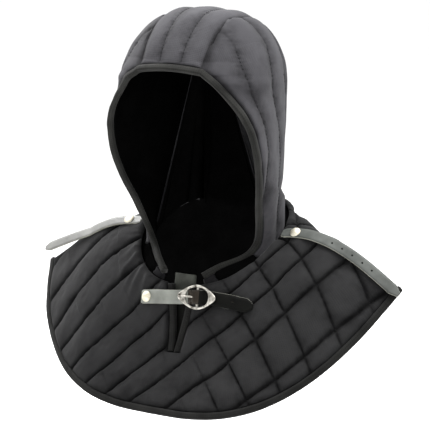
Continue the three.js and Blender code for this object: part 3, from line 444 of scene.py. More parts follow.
def cloth(name, dark, light, thread=0.0011, lint=0.12, sheen=0.04, dull=0.92, shine=0.06):
    """Woven cotton: warp and weft, slubs, and a tone paler on padded tops, partly rubbed wear and partly
    painted light, and darker in stitched valleys, painted shade.
    """
    paint = Paint(name, Roughness=dull, Specular_IOR_Level=shine, Sheen_Roughness=0.45)
    paint.shader.inputs["Sheen Weight"].default_value = sheen
    node, link, shader = paint.node, paint.link, paint.shader
    bands = {"Scale": 1 / thread / 6.28, "Distortion": 0.6, "Detail": 1.0, "Detail_Scale": 0.4}
    places = node("UVMap", uv_map="cloth")
    warp = node("TexWave", wave_type="BANDS", bands_direction="X", **bands)
    weft = node("TexWave", wave_type="BANDS", bands_direction="Y", **bands)
    crossing = node("Math", operation="MAXIMUM")
    for into, wave in enumerate((warp, weft)):
        link(places, "UV", wave, "Vector")
        link(wave, "Fac", crossing, into)
    solid = node("TexCoord")
    blotches = node("TexNoise", Scale=34.0, Detail=7.0, Roughness=0.68)
    fuzz = node("TexNoise", Scale=900.0, Detail=3.0, Roughness=0.7)
    for noise in (blotches, fuzz):
        link(solid, "Object", noise, "Vector")
    # The tone attribute (painted light on the padded tops, painted shade in the valleys and seams, with
    # some rubbed wear), mixed with random blotches.
    tops = node("Attribute", attribute_name="shade_and_wear")
    toned = node("Math", operation="MULTIPLY_ADD")
    toned.inputs[1].default_value = 0.62
    link(tops, "Fac", toned, 0)
    link(blotches, "Fac", toned, 2)
    mixed = node("MapRange", interpolation_type="SMOOTHSTEP", From_Min=0.42, From_Max=1.26)
    link(toned, 0, mixed, "Value")
    colour = paint.ramp(dark, light)
    link(mixed, "Result", colour, "Fac")
    threads = node("MapRange", From_Min=0.2, From_Max=1.0, To_Min=1.0 - lint, To_Max=1.0 + lint * 0.5)
    link(crossing, 0, threads, "Value")
    shaded = node("VectorMath", operation="SCALE")
    link(colour, "Color", shaded, 0)
    link(threads, "Result", shaded, "Scale")
    link(shaded, "Vector", shader, "Base Color")
    rough = node("Math", operation="MULTIPLY_ADD")
    rough.inputs[1].default_value = 0.5
    link(fuzz, "Fac", rough, 0)
    link(crossing, 0, rough, 2)
    bump = node("Bump", Strength=0.3, Distance=0.0004)
    link(rough, 0, bump, "Height")
    soft = node("Bump", Strength=0.35, Distance=0.002)
    link(blotches, "Fac", soft, "Height")
    link(bump, "Normal", soft, "Normal")
    link(soft, "Normal", shader, "Normal")
    return paint.material


def stitch_runs(name, runs, material, pitch=4.4, long=3.0, thick=0.55):
    """Rows of single stitches, each a spindle of thread along its run. A run is (points, normals)."""
    points, faces = [], []
    for line, normal in runs:
        far = run_lengths(line)
        count = int(far[-1] // pitch)
        for k in range(count):
            start = (k + 0.5) * pitch - long / 2
            ends = [
                np.array([np.interp(s, far, line[:, a]) for a in range(3)])
                for s in (start, start + long)
            ]
            up = np.array([np.interp(start, far, normal[:, a]) for a in range(3)])
            up /= np.linalg.norm(up)
            way = (ends[1] - ends[0]) / max(np.linalg.norm(ends[1] - ends[0]), 1e-6)
            side = np.cross(way, up)
            middle = (ends[0] + ends[1]) / 2
            base = len(points)
            sink = up * thick * 0.4
            points += [ends[0] - sink, ends[1] - sink]
            for a, b in ((1, 0), (0, 1), (-1, 0), (0, -1)):
                points.append(middle + side * a * thick + up * b * thick)
            for a in range(4):
                p, q = base + 2 + a, base + 2 + (a + 1) % 4
                faces += [(base, q, p), (base + 1, p, q)]
    return piece(name, np.array(points), faces, [material])


def thread_material(name, colour):
    paint = Paint(name, Roughness=0.8, Specular_IOR_Level=0.1)
    space = paint.node("TexCoord")
    twist = paint.node("TexNoise", Scale=1500)
    ramp = paint.ramp([c * 0.6 for c in colour], [c * 1.5 for c in colour])
    paint.link(space, "Object", twist, "Vector")
    paint.link(twist, "Fac", ramp, "Fac")
    paint.link(ramp, "Color", paint.shader, "Base Color")
    return paint.material


hood_cloth = cloth("hood_cotton", (0.008, 0.0078, 0.0086), (0.048, 0.047, 0.0513))
# The lining is near black, partly its own black and partly painted shade inside the hood and under the
# mantle.
lining_cloth_painted_shade = cloth("black_lining_painted_shade", (0.001, 0.001, 0.001), (0.0026, 0.0026, 0.0026), sheen=0, shine=0)
hood_thread = thread_material("hood_thread", (0.012, 0.012, 0.013))

SIDE_LINE, SIDE_PITCH = -25, 42
BOUND_INSET, BROW_INSET, FRONT_LENGTH = 7.6, 7.4, 395
SEAM_OVERLAP, SEAM_DROP = 2.0, 1.7
hood_cloths = [hood_cloth, lining_cloth_painted_shade]


def side_grid(rows, columns):
    """Places down and back of the side's own outline, clear of the seams and the binding."""
    along = np.linspace(0, 1, rows)
    corner = 9 / 36
    inner = brow_share - BROW_INSET / FRONT_LENGTH
    down = np.where(
        along < corner,
        blend(0.012, inner, along / corner),
        blend(inner, 0.982, (along - corner) / (1 - corner)),
    )
    front, rear = front_edge(down), back_edge(down)
    length = np.linalg.norm(front - rear, axis=1)
    edge = front_edge(down + 0.004) - front_edge(down - 0.004)
    row = side_point(down, np.full(rows, 0.06)) - front
    slant = np.maximum(np.linalg.norm(np.cross(unit(edge), unit(row)), axis=1), 0.5)
    at_face = smooth(down, inner, brow_share + 0.003)
    tucked = blend(2.5, BOUND_INSET, smooth(down, brow_share + 0.02, brow_share + 0.16))
    first = blend(-SEAM_OVERLAP, tucked / slant, at_face) / length
    last = 1 + SEAM_OVERLAP / length
    ends = np.minimum(first, 0.8)[:, None], np.maximum(last, 0.9)[:, None]
    return np.repeat(down[:, None], columns, 1), blend(*ends, np.linspace(0, 1, columns))


def edge_roll(a, b, reach_a, reach_b):
    """0 at a piece's own edges, 1 further in, for cloth that turns down into its seams."""
    near = np.minimum(np.minimum(a, 1 - a) / reach_a, np.minimum(b, 1 - b) / reach_b)
    return np.sin(clamp01(near) * math.pi / 2) ** 0.7


def puckers(near_line, off, along, seed):
    """Small uneven gathers where the stitches pull the cloth in beside a line."""
    return near_line * (0.35 * uneven(off, along / 5, seed) + 0.15 * np.sin(along * 1.4))


def eased(line):
    """A line of points with its small steps smoothed out."""
    padded = np.pad(line, ((4, 4), (0, 0)), "edge")
    return np.stack([np.convolve(padded[:, k], np.ones(9) / 9, "valid") for k in range(3)], -1)


def hood_side(name, side, seed):
    rows, columns, step = 289, 145, 4
    down, back = side_grid(rows, columns)
    base = side_point(down, back)
    outward = base - np.array([0, -20, -150])
    normal = grid_normals(base, outward)
    a = np.linspace(0, 1, rows)[:, None] + 0 * back
    b = np.linspace(0, 1, columns)[None, :] + 0 * back
    place = side_channel(base) - SIDE_LINE
    rounded = swell(place, SIDE_PITCH, 0.75)
    near_line = beside_line(place, SIDE_PITCH, 6)
    z = base[..., 2]
    pucker = puckers(near_line, place / 9 + 31, z, seed)
    loose = uneven(place / 26 + 7, z / 38, seed + 9, 2) * 0.75
    # A slight crease slants down to the throat.
    drag = 0.35 * np.exp(-(((z + 262 - 0.35 * base[..., 1]) / 9) ** 2)) * smooth(-z, 200, 250)
    rise = HOOD_PUFF * rounded * edge_roll(a, b, 0.03, 0.09)
    rise += (loose + pucker - drag) * edge_roll(a, b, 0.06, 0.12)
    rise -= SEAM_DROP * (1 - edge_roll(a, b, 0.008, 0.02))
    outer = base + normal * rise[..., None]
    inner = base - normal * LINING_DEPTH
    runs = []
    for k in range(0, 5):
        level = k * SIDE_PITCH
        line, up = [], []
        for i in range(4, rows - 4):
            row = place[i]
            if row.min() < level < row.max():
                j = int(np.argmax(row > level))
                if 3 < j < columns - 4:
                    line.append(outer[i, j] + normal[i, j] * 0.25)
                    up.append(normal[i, j])
        if len(line) > 10:
            runs.append([np.array(line), np.array(up)])
    for grid in (outer, inner, outward, *(r for run in runs for r in run)):
        grid[..., 0] *= side
    # Painted light and shade: paler on the padded tops, which is partly rubbed wear, and painted shade in
    # the stitched valleys, into the seams, low on the side and at the throat end.
    tops = (0.35 + 0.65 * rounded) * edge_roll(a, b, 0.02, 0.055) ** 3
    tops *= (1 - 0.25 * smooth(-z, 140, 250)) * (1 - smooth(a, 0.91, 0.96))
    made = shell("quilted_" + name, outer, inner, step, outward, hood_cloths, tops)
    sewn = stitch_runs(name + "_stitches", [(eased(line), up) for line, up in runs], hood_thread)
    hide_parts(name)
    return made


hood_left = hood_side("hood_side_left", 1, 11)
hood_right = hood_side("hood_side_right", -1, 23)


# ---- Crown strip ---------------------------------------------------------------------
# One long piece of the same quilted cotton from the brow over the head to the nape, stitched
# lengthwise into three channels and seamed to the two sides.
CHANNEL = 28


def crown_strip():
    rows, columns, step = 321, 97, 4
    across = np.linspace(-1, 1, columns) * (1 + 0.8 / STRIP_HALF)
    first = strip_point(np.zeros(columns), across)
    pace = np.linalg.norm(strip_point(np.full(columns, 0.02), across) - first, axis=1) / 0.02
    along = blend(BROW_INSET / pace[None, :], 1.03, np.linspace(0, 1, rows)[:, None])
    across = across[None, :] + 0 * along
    base = strip_point(along, across)
    outward = base - np.array([0, STRIP_Y, STRIP_Z])
    outward[..., 0] *= 0.1
    normal = grid_normals(base, outward)
    a = np.linspace(0, 1, rows)[:, None] + 0 * across
    b = np.linspace(0, 1, columns)[None, :] + 0 * across
    rounded = swell(b, 1 / 3, 0.9)
    length = a * 330
    near_line = beside_line(b * 3 * CHANNEL, CHANNEL, 5)
    pucker = puckers(near_line, b * 30, length, 41)
    loose = uneven(b * 3 + 5, length / 34, 47, 2) * 0.7
    rise = HOOD_PUFF * rounded * edge_roll(a, b, 0.02, 0.12)
    rise += (loose + pucker) * edge_roll(a, b, 0.04, 0.15)
    rise -= SEAM_DROP * (1 - edge_roll(a, b, 0.005, 0.04))
    outer = base + normal * rise[..., None]
    inner = strip_point(along, across * (1 + 3 / STRIP_HALF)) - normal * (LINING_DEPTH + 0.4)
    # Painted light and shade: paler on the padded tops, which is partly rubbed wear, and painted shade in
    # the stitched valleys and into the seams.
    tops = (0.45 + 0.55 * rounded) * edge_roll(a, b, 0.012, 0.08) ** 3
    made = shell("quilted_crown", outer, inner, step, outward, hood_cloths, tops)
    runs = []
    for column in (32, 64):
        line = outer[4:-4, column] + normal[4:-4, column] * 0.25
        runs.append((line, normal[4:-4, column]))
    sewn = stitch_runs("crown_stitches", runs, hood_thread)
    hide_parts("hood_crown")
    return made


crown = crown_strip()


# ---- Face binding --------------------------------------------------------------------
# Cotton twill tape folded over the edge of the face opening from throat to throat and
# stitched down close to its inner edge.
def tape_material(name, dark, light):
    return cloth(name, dark, light, thread=0.0014, lint=0.3, dull=0.8)


def tube(name, at, across, up, section, materials, marks=None):
    """A bar through stations: section is (stations, sides, 2), across and up, in millimetres."""
    section = np.asarray(section, float)
    if section.ndim == 2:
        section = np.repeat(section[None], len(at), 0)
    points = at[:, None] + across[:, None] * section[..., :1] + up[:, None] * section[..., 1:]
    count, sides = points.shape[:2]
    ids = np.arange(count * sides).reshape(count, sides)
    turned = np.roll(ids, -1, 1)
    quads = np.stack([ids[:-1], turned[:-1], turned[1:], ids[1:]], -1).reshape(-1, 4)
    faces = quads.tolist() + [ids[0, ::-1].tolist(), ids[-1].tolist()]
    middle = count // 2
    ring = points[middle]
    out = np.cross(ring[1] - ring[0], points[min(middle + 1, count - 1), 0] - ring[0])
    if out @ (ring[0] - ring.mean(0)) < 0:
        faces = [face[::-1] for face in faces]
    far, round_it = (run_lengths(line) * MM for line in (at, section[middle]))
    uv = np.stack(np.broadcast_arrays(far[:, None], round_it[None, :]), -1).reshape(-1, 2)
    shade_and_wear = np.full(count * sides, 0.6)
    return piece(name, points.reshape(-1, 3), faces, materials, shade_and_wear, uv, marks)


BOUND_WIDTH = 8


def bound_section(stations, seed, stretch=1.0):
    """Folded tape, rounded and a little uneven, drawn in where its stitches pull."""
    turn = np.linspace(0, 2 * math.pi, 22, endpoint=False) + 0.1
    c, s = np.cos(turn), np.sin(turn)
    c, s = np.sign(c) * np.abs(c) ** 0.62, np.sign(s) * np.abs(s) ** 0.62
    at = np.arange(stations)
    full = 1 + 0.06 * uneven(at / 7, 0 * at, seed)
    stretch = np.broadcast_to(stretch, stations)
    wide = stretch[:, None] * (BOUND_WIDTH / 2) * (1 + c[None, :])
    lift = -0.9 + 3.55 * s[None, :] * np.where(s > 0, full[:, None], 1)
    pinch = np.exp(-(((wide / stretch[:, None] - 6.3) / 0.7) ** 2)) * (s[None, :] > 0)
    return np.stack([wide, lift - 0.5 * pinch], -1)


bound_tape = tape_material("black_tape", (0.0025, 0.0025, 0.0024), (0.013, 0.013, 0.0122))
# The face edge's tape is the hem's black tape painted paler: painted light along the hood's rim.
face_tape_painted_light = tape_material("black_tape_painted_light", (0.006, 0.006, 0.0056), (0.024, 0.024, 0.0222))
tape_thread = thread_material("tape_thread", (0.012, 0.012, 0.011))


def tape_stitches(name, at, across, up, reach=6.3, height=2.05):
    line = at + across * np.reshape(reach, (-1, 1)) + up * height
    return stitch_runs(name, [(line, up)], tape_thread, pitch=3.6, long=2.4, thick=0.42)


def face_binding():
    side_count, brow_count = 150, 44
    down = blend(brow_share, 0.982, np.linspace(1, 0, side_count))
    at = front_edge(down)
    step = 0.006
    near = np.full(side_count, 0.02)
    below = side_point(down + step, near) - side_point(down - step, near)
    inward = side_point(down, near + 0.02) - side_point(down, near - 0.02)
    up = unit(np.cross(below, inward))
    up = np.where(up[:, :1] < 0, -up, up)
    place = np.linspace(1, -1, brow_count + 2)[1:-1]
    zero = np.zeros(brow_count)
    top_at = strip_point(zero, place)
    top_way = strip_point(zero, place - 0.02) - strip_point(zero, place + 0.02)
    top_in = strip_point(zero + 0.02, place) - top_at
    top_up = unit(np.cross(top_in, top_way))
    top_up = np.where(top_up[:, 1:2] > 0, -top_up, top_up)
    mirror = np.array([-1, 1, 1])
    lines = np.concatenate([at, top_at, (at * mirror)[::-1]])
    ups = np.concatenate([up, top_up, (up * mirror)[::-1]])
    side_in = side_point(down, near + 0.06) - at
    ins = np.concatenate([side_in, top_in, (side_in * mirror)[::-1]])
    for _ in range(6):
        ups[1:-1] = unit(ups[:-2] + ups[1:-1] + ups[2:])
    way = unit(np.gradient(lines, axis=0))
    across = unit(np.cross(way, ups))
    across = np.where((across * ins).sum(1, keepdims=True) < 0, -across, across)
    ups_square = unit(np.cross(across, way))
    ups = np.where((ups_square * ups).sum(1, keepdims=True) < 0, -ups_square, ups_square)
    made = tube("bound_face_edge", lines, across, ups, bound_section(len(lines), 61), [face_tape_painted_light])
    sewn = tape_stitches("face_edge_stitches", lines, across, ups)
    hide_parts("face_binding")


face_binding()

# ---- Mantle front --------------------------------------------------------------------
# One piece of quilted cotton cut as part of a ring, stitched into diamonds, slit from the
# neck and sewn to the hood at the neck and to the back at the shoulders.
MANTLE_PUFF, MANTLE_DROP, STITCH_DEPTH = 4.5, 165, 1.3
SLIT_X, SLIT_TOP, SLIT_FOOT, SLIT_HALF = 5, -296, -388, 13
CUT_RADIUS, CUT_HALF_ANGLE = 122, 66
FRONT_LINES = [  # degrees round the neck, the hem's x, y and z, rise and outward bow of the fall
    (0, 0, -122, -452, -4, -14),
    (15, 52, -121, -451, -2, -12),
    (30, 100, -113, -444, 0, -8),
    (45, 142, -94, -429, 5, -1),
    (60, 182, -65, -401, 10, 1),
    (75, 219, -30, -359, 14, 1),
    (90, 250, 20, -306, 15, 0),
]
BACK_LINES = [  # the same columns
    (90, 250, 20, -306, 15, 0),
    (105, 203, 64, -350, 17, 0),
    (120, 160, 98, -383, 14, 1),
    (135, 118, 124, -406, 10, 2),
    (150, 78, 140, -421, 8, 3),
    (165, 39, 148, -428, 6, 4),
    (180, 0, 150, -430, 6, 4),
]
PANEL_EDGE, BOUND_START = 1 - 7.2 / MANTLE_DROP, 1 - 8.45 / MANTLE_DROP
SEAM_START, BOUND_SEAM = -0.2 / 250, 0.15 / 250


def droop_at(x):
    """How far the wearer's right shoulder hangs below the left one."""
    return 20 * smooth(x, 110, 250)


def mantle_point(lines, place, down, side):
    """The mantle's stitched level: place over the table's rows, down from neck to hem."""
    row = through(lines, place)
    stand = 1 + 10 * smooth(row[..., 0], 20, 80) - 4 * smooth(row[..., 0], 100, 170)
    neck = neck_point(row[..., 0], 7, stand)
    hem = row[..., 1:4]
    point = blend(neck, hem, down[..., None])
    bow = np.sin(math.pi * down)
    away = unit((hem - neck) * np.array([1, 1, 0]))
    point += away * (row[..., 5] * bow)[..., None]
    point[..., 2] += row[..., 4] * bow
    lift = 10 * np.exp(-(((row[..., 0] - 98) / 36) ** 2)) * np.sin(math.pi * clamp01(down) ** 0.55)
    point[..., 2] += np.where(side < 0, -droop_at(point[..., 0]), lift)
    point[..., 0] *= side
    return point


def panel_point(lines, order, across, down):
    last = len(lines) - 1
    place = np.abs(2 * across - 1) * last
    side = np.where(across >= 0.5, 1.0, -1.0)
    return mantle_point(lines, place if order > 0 else last - place, down, side)


def front_point(across, down):
    return panel_point(FRONT_LINES, 1, across, down)


def cut_places(across, down):
    """Where a place of a panel lies in its flat cut, along the two ways of its stitching."""
    angle = np.radians(CUT_HALF_ANGLE * (2 * across - 1))
    radius = CUT_RADIUS + MANTLE_DROP * down
    u, v = radius * np.sin(angle), radius * np.cos(angle)
    p, q = (u + v) / math.sqrt(2), (u - v) / math.sqrt(2)
    return np.interp(p, LONG_LINES, np.arange(len(LONG_LINES))) * DIAMOND, q - LINES_START


DIAMOND, LINES_START = 38.5, -4
LONG_LINES = [-129, -90, -51, -12, 27, 66, 102, 137, 172, 209, 260, 300]


def crossed_by(across, down):
    """How far the second family of stitch lines has come in over the front's width."""
    angle = np.radians(CUT_HALF_ANGLE * (2 * across - 1))
    return smooth((CUT_RADIUS + MANTLE_DROP * down) * np.sin(angle), 15, 105)


def quilt(across, down, a, b, seed, crossed):
    """Rise over the stitched level, and the cloth's tone: paler on the padded tops, partly rubbed wear and
    partly painted light, with painted shade in the stitched valleys and at the edges.
    """
    p, q = cut_places(across, down)
    waver = 0.8 * uneven(p / 30 + 3, q / 30 + 5, seed + 5, 2)
    p, q = p + waver, q + waver * 0.7
    rounded = swell(p, DIAMOND, 0.42) * blend(1, swell(q, DIAMOND, 0.42), crossed)
    which_p, which_q = np.floor(p / DIAMOND), np.floor(q / DIAMOND)
    lot = np.random.default_rng(seed).uniform(0.82, 1.08, (32, 32))
    full = lot[(which_p % 32).astype(int), (which_q % 32).astype(int)]
    near_p, near_q = (beside_line(place, DIAMOND, 5) for place in (p, q))
    pucker = near_p * uneven(q / 5, p / 13, seed + 1) + crossed * near_q * uneven(p / 5, q / 13, seed + 2)
    loose = uneven(p / 22, q / 30, seed + 3, 3)
    gather = np.exp(-down / 0.16) * np.sin(across * 120 + 3 * uneven(across * 14, down * 3, seed + 4))
    inset = edge_roll(a, b, 0.02, 0.05)
    valley = np.maximum(beside_line(p, DIAMOND, 2.4), 0.7 * crossed * beside_line(q, DIAMOND, 1.6))
    rise = MANTLE_PUFF * full * rounded * inset + (0.42 * pucker + 0.55 * loose + 0.5 * gather) * inset
    rise -= 0.8 * (1 - edge_roll(a, b, 0.004, 0.015)) + 1.6 * valley * inset
    return np.clip(rise, -2.6, 5.6), rounded**0.5 * inset * (1 - 0.95 * valley)


def level_normals(base, outward, share):
    """Normals of a panel, turned level with the other panel's at the shoulder seams."""
    normal = grid_normals(base, outward)
    normal[..., 1] *= smooth(np.minimum(share, 1 - share), 0, 0.08)
    return unit(normal)


def quilting_runs(lines, order, lift, skip=None, skip_second=None):
    """Rows of stitches along both ways of the diamonds, on the panel's stitched level."""
    runs = []
    for way in (0, 1):
        for level in LONG_LINES if way == 0 else np.arange(-8, 9) * DIAMOND + LINES_START:
            other = np.linspace(-420, 420, 561)
            here = np.full_like(other, level)
            p, q = (here, other) if way == 0 else (other, here)
            u, v = (p + q) / math.sqrt(2), (p - q) / math.sqrt(2)
            down = (np.hypot(u, v) - CUT_RADIUS) / MANTLE_DROP
            across = (np.degrees(np.arctan2(u, v)) / CUT_HALF_ANGLE + 1) / 2
            inside = (down > 0.03) & (down < PANEL_EDGE - 0.02) & (across > 0.01) & (across < 0.99)
            if skip is not None:
                inside &= ~skip(across, down)
            if way == 1 and skip_second is not None:
                inside &= ~skip_second(across, down)
            spans = np.flatnonzero(np.diff(np.concatenate([[0], inside.astype(int), [0]])))
            for start, end in zip(spans[::2], spans[1::2]):
                if end - start < 8:
                    continue
                a, d = across[start:end], down[start:end]
                line = panel_point(lines, order, a, d)
                e = 0.004
                along = panel_point(lines, order, a + e, d) - panel_point(lines, order, a - e, d)
                fall = panel_point(lines, order, a, d + e) - panel_point(lines, order, a, d - e)
                up = unit(np.cross(fall, along))
                up = np.where(up[:, 2:] < 0, -up, up)
                runs.append((line + up * lift, up))
    return runs


# The hood's charcoal cotton, painted about three times darker on the mantle: painted shade.
mantle_cloth_painted_shade = cloth("mantle_cotton_painted_shade", (0.0015, 0.0015, 0.0016), (0.0175, 0.0175, 0.0179))
mantle_cloths = [mantle_cloth_painted_shade, lining_cloth_painted_shade]
mantle_thread = thread_material("mantle_thread", (0.005, 0.005, 0.005))


NECK_FOLDS = [  # place at the neck, place at its end, way down, height
    (0.165, 0.175, 0.24, 1.3),
    (0.205, 0.225, 0.34, 1.7),
    (0.25, 0.262, 0.3, 2.0),
    (0.285, 0.305, 0.42, 1.7),
    (0.335, 0.345, 0.3, 1.3),
    (0.81, 0.8, 0.2, 1.2),
    (0.86, 0.855, 0.26, 1.4),
]


def neck_folds(across, down):
    """Soft upright folds where the cloth is eased into the neck seam."""
    total = np.zeros_like(across)
    for start, end, reach, height in NECK_FOLDS:
        off = (across - blend(start, end, down / reach)) / 0.0125
        fading = smooth(reach - down, 0, reach * 0.6) * smooth(down, 0.0, 0.04)
        total += height * np.exp(-(off**2)) * fading
    return total


def slit_half(z):
    return SLIT_HALF * (z - SLIT_FOOT) / (SLIT_TOP - SLIT_FOOT)


def mantle_front():
    step, big_columns, big_rows = 4, 113, 40
    columns, rows = step * big_columns + 1, step * big_rows + 1
    tries = np.linspace(0, 1, 2001)
    fall = front_point(np.full(2001, 0.509), tries)[:, 2]
    slit_down = np.interp(SLIT_FOOT, fall[::-1], tries[::-1])
    slit_row = int(round(big_rows * slit_down / PANEL_EDGE)) * step
    at = np.arange(rows)
    down = np.where(
        at < slit_row,
        slit_down * at / slit_row,
        blend(slit_down, PANEL_EDGE, (at - slit_row) / (rows - 1 - slit_row)),
    )
    z = np.interp(down, tries, fall)
    room = BOUND_WIDTH - 0.8
    reach = room + np.maximum(slit_half(z), 0)
    near = np.linspace(0.4, 0.6, 161)
    left_edge, right_edge = np.zeros(rows), np.zeros(rows)
    for i in range(rows):
        x = front_point(near, np.full(161, down[i]))[:, 0]
        left_edge[i] = np.interp(SLIT_X - reach[i], x, near)
        right_edge[i] = np.interp(SLIT_X + reach[i], x, near)
    half_columns = step * (big_columns // 2)
    share = np.linspace(0, 1, half_columns + 1)[:, None]
    first = blend(SEAM_START, left_edge[None, :], share)
    last = blend(right_edge[None, :], 1 - SEAM_START, share)
    gap = blend(left_edge[None, :], right_edge[None, :], np.linspace(0, 1, step + 1)[1:-1, None])
    across = np.concatenate([first, gap, last])
    down = down[None, :] + 0 * across
    base = front_point(across, down)
    outward = np.zeros_like(base) + np.array([0, -0.5, 1])
    b = down / PANEL_EDGE
    normal = level_normals(base, outward, across)
    rise, tops = quilt(across, down, across, b, 71, crossed_by(across, down))
    columns_in = np.arange(columns)[:, None] + 0 * across
    from_slit = np.minimum(np.abs(columns_in - half_columns), np.abs(columns_in - half_columns - step))
    beside = np.where(down <= slit_down + 0.01, smooth(from_slit, 0, 9), 1)
    rise = np.where(down < slit_down + 0.02, rise * beside, rise) + neck_folds(across, down)
    outer = base + normal * rise[..., None]
    inner = base - normal * LINING_DEPTH
    keep = np.ones((big_columns, big_rows), bool)
    keep[big_columns // 2, : slit_row // step] = False
    # Painted shade: darker beside the slit and towards the hem just to the wearer's right of the middle.
    tops *= beside * (1 - 0.35 * smooth(down, 0.5, 1) * np.exp(-(((across - 0.43) / 0.17) ** 2)))
    made = shell("quilted_mantle_front", outer, inner, step, outward, mantle_cloths, tops, keep)

    def in_slit(a, d):
        x = front_point(a, d)
        beside_slit = room + 2 + np.maximum(slit_half(x[:, 2]), 0)
        return (np.abs(x[:, 0] - SLIT_X) < beside_slit) & (x[:, 2] > SLIT_FOOT - 3)

    def uncrossed(a, d):
        return crossed_by(a, d) < 0.4

    runs = quilting_runs(FRONT_LINES, 1, -STITCH_DEPTH, in_slit, uncrossed)
    sewn = stitch_runs("mantle_front_stitches", runs, mantle_thread)
    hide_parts("mantle_front")
    return made


front_panel = mantle_front()


# ---- Mantle back ---------------------------------------------------------------------
# The same cloth and the same diamonds without the slit, from one shoulder seam to the other,
# sewn to the hood at the nape.
def mantle_back():
    step, big_columns, big_rows = 4, 100, 36
    share = np.linspace(0, 1, step * big_columns + 1)[:, None]
    b = np.linspace(0, 1, step * big_rows + 1)[None, :] + 0 * share
    across, down = blend(SEAM_START, 1 - SEAM_START, share) + 0 * b, PANEL_EDGE * b
    base = panel_point(BACK_LINES, -1, across, down)
    outward = np.zeros_like(base) + np.array([0, 0.5, 1])
    normal = level_normals(base, outward, across)
    rise, tops = quilt(across, down, across, b, 83, 1)
    outer, inner = base + normal * rise[..., None], base - normal * LINING_DEPTH
    made = shell("quilted_mantle_back", outer, inner, step, outward, mantle_cloths, tops)
    runs = quilting_runs(BACK_LINES, -1, -STITCH_DEPTH)
    sewn = stitch_runs("mantle_back_stitches", runs, mantle_thread)
    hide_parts("mantle_back")
    return made


back_panel = mantle_back()


# ---- Hem bindings --------------------------------------------------------------------
# Black cotton tape folded over the mantle's lower edge and stitched down, a length round the
# front and a length round the back, which meet at the shoulder seams.
def hem_binding(name, node, lines, order, seed):
    across = np.linspace(BOUND_SEAM, 1 - BOUND_SEAM, 385)
    edge = np.full_like(across, BOUND_START)
    at = panel_point(lines, order, across, edge)
    down = unit(panel_point(lines, order, across, edge * 0 + 1) - at)
    low, high = np.maximum(across - 0.006, 0), np.minimum(across + 0.006, 1)
    way = unit(panel_point(lines, order, high, edge) - panel_point(lines, order, low, edge))
    slant = np.maximum(np.linalg.norm(np.cross(way, down), axis=1), 0.6)
    up = unit(np.cross(down, way))
    up = np.where(up[:, 2:] < 0, -up, up)
    up[:, 1] *= smooth(np.minimum(across, 1 - across), 0, 0.08)
    up = unit(up)
    at = at + down * (0.45 / slant)[:, None]
    made = tube(name, at, down, up, bound_section(len(at), seed, 1 / slant), [bound_tape])
    sewn = tape_stitches(name + "_stitches", at, down, up, 1.7 / slant, 2.0)
    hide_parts(node)


hem_binding("bound_front_hem", "hem_binding_front", FRONT_LINES, 1, 91)
hem_binding("bound_back_hem", "hem_binding_back", BACK_LINES, -1, 97)


# ---- Slit bindings -------------------------------------------------------------------
# Two short lengths of the same tape folded over the cut sides of the slit and stitched down.
# They meet in a point at its foot.
SLIT_BOUND_TOP = -311.5


def on_front(x, z):
    """The front panel's stitched level and normal straight behind places x and z."""
    x, z = np.broadcast_arrays(np.asarray(x, float), np.asarray(z, float))
    across, down, e = 0.5 + x / 560, (z + 311) / -141, 0.01
    for _ in range(14):
        here = front_point(across, down)
        side = front_point(across + e, down) - here
        fall = front_point(across, down + e) - here
        ex, ez = x - here[..., 0], z - here[..., 2]
        area = side[..., 0] * fall[..., 2] - fall[..., 0] * side[..., 2]
        across = across + e * (ex * fall[..., 2] - ez * fall[..., 0]) / area
        down = down + e * (ez * side[..., 0] - ex * side[..., 2]) / area
    at = front_point(across, down)
    side = front_point(across + e, down) - front_point(across - e, down)
    fall = front_point(across, down + e) - front_point(across, down - e)
    normal = unit(np.cross(fall, side))
    return at, np.where(normal[..., 1:2] > 0, -normal, normal)


def slit_binding(name, node, side, seed):
    z = np.linspace(SLIT_BOUND_TOP, SLIT_FOOT + 0.2, 60)
    at, normal = on_front(SLIT_X + side * np.maximum(slit_half(z), 0.15), z)
    up = unit(normal * np.array([0, 1, 1]))
    across = np.zeros_like(at) + np.array([side, 0, 0])
    made = tube(name, at, across, up, bound_section(len(z), seed), [bound_tape])
    sewn = tape_stitches(name + "_stitches", at, across, up)
    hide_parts(node)


slit_binding("bound_slit_left", "slit_binding_left", 1, 101)
slit_binding("bound_slit_right", "slit_binding_right", -1, 103)


# ---- Throat tongue -------------------------------------------------------------------
# A plate of waxed leather sewn behind the slit, which shows in its opening. It is pale at the top and
# black lower down.
TONGUE_ROWS = [(-299, 14), (-313, 15), (-326, 21), (-345, 20), (-362, 17), (-374, 13), (-387, 9)]
TONGUE_THICK, TONGUE_BLACK_TOP, TONGUE_CURVE = 2.4, -322, 190


def rubbed(name, dark, light, between, patches, rough, grain, **uniform):
    """A surface whose patches change its colour and its roughness, over a fine raised grain."""
    paint = Paint(name, **uniform)
    kind, sizes, out, strength = grain
    space = paint.node("TexCoord")
    rubs = paint.node("TexNoise", **patches)
    pits = paint.node(kind, **sizes)
    for texture in (rubs, pits):
        paint.link(space, "Object", texture, "Vector")
    colour = paint.ramp(dark, light, *between)
    paint.link(rubs, "Fac", colour, "Fac")
    paint.link(colour, "Color", paint.shader, "Base Color")
    dull = paint.node("MapRange", To_Min=rough[0], To_Max=rough[1])
    paint.link(rubs, "Fac", dull, "Value")
    paint.link(dull, "Result", paint.shader, "Roughness")
    bump = paint.node("Bump", Strength=strength, Distance=0.0002)
    paint.link(pits, out, bump, "Height")
    paint.link(bump, "Normal", paint.shader, "Normal")
    return paint.material


def leather(name, dark, light, gloss=0.38, shine=0.22):
    """Smooth waxed hide: a fine pebbled grain with rubbed patches."""
    grain = ("TexVoronoi", {"Scale": 1100}, "Distance", 0.25)
    patches, rough = {"Scale": 60, "Detail": 5}, (gloss - 0.08, gloss + 0.14)
    return rubbed(name, dark, light, (0.3, 0.72), patches, rough, grain, Specular_IOR_Level=shine)


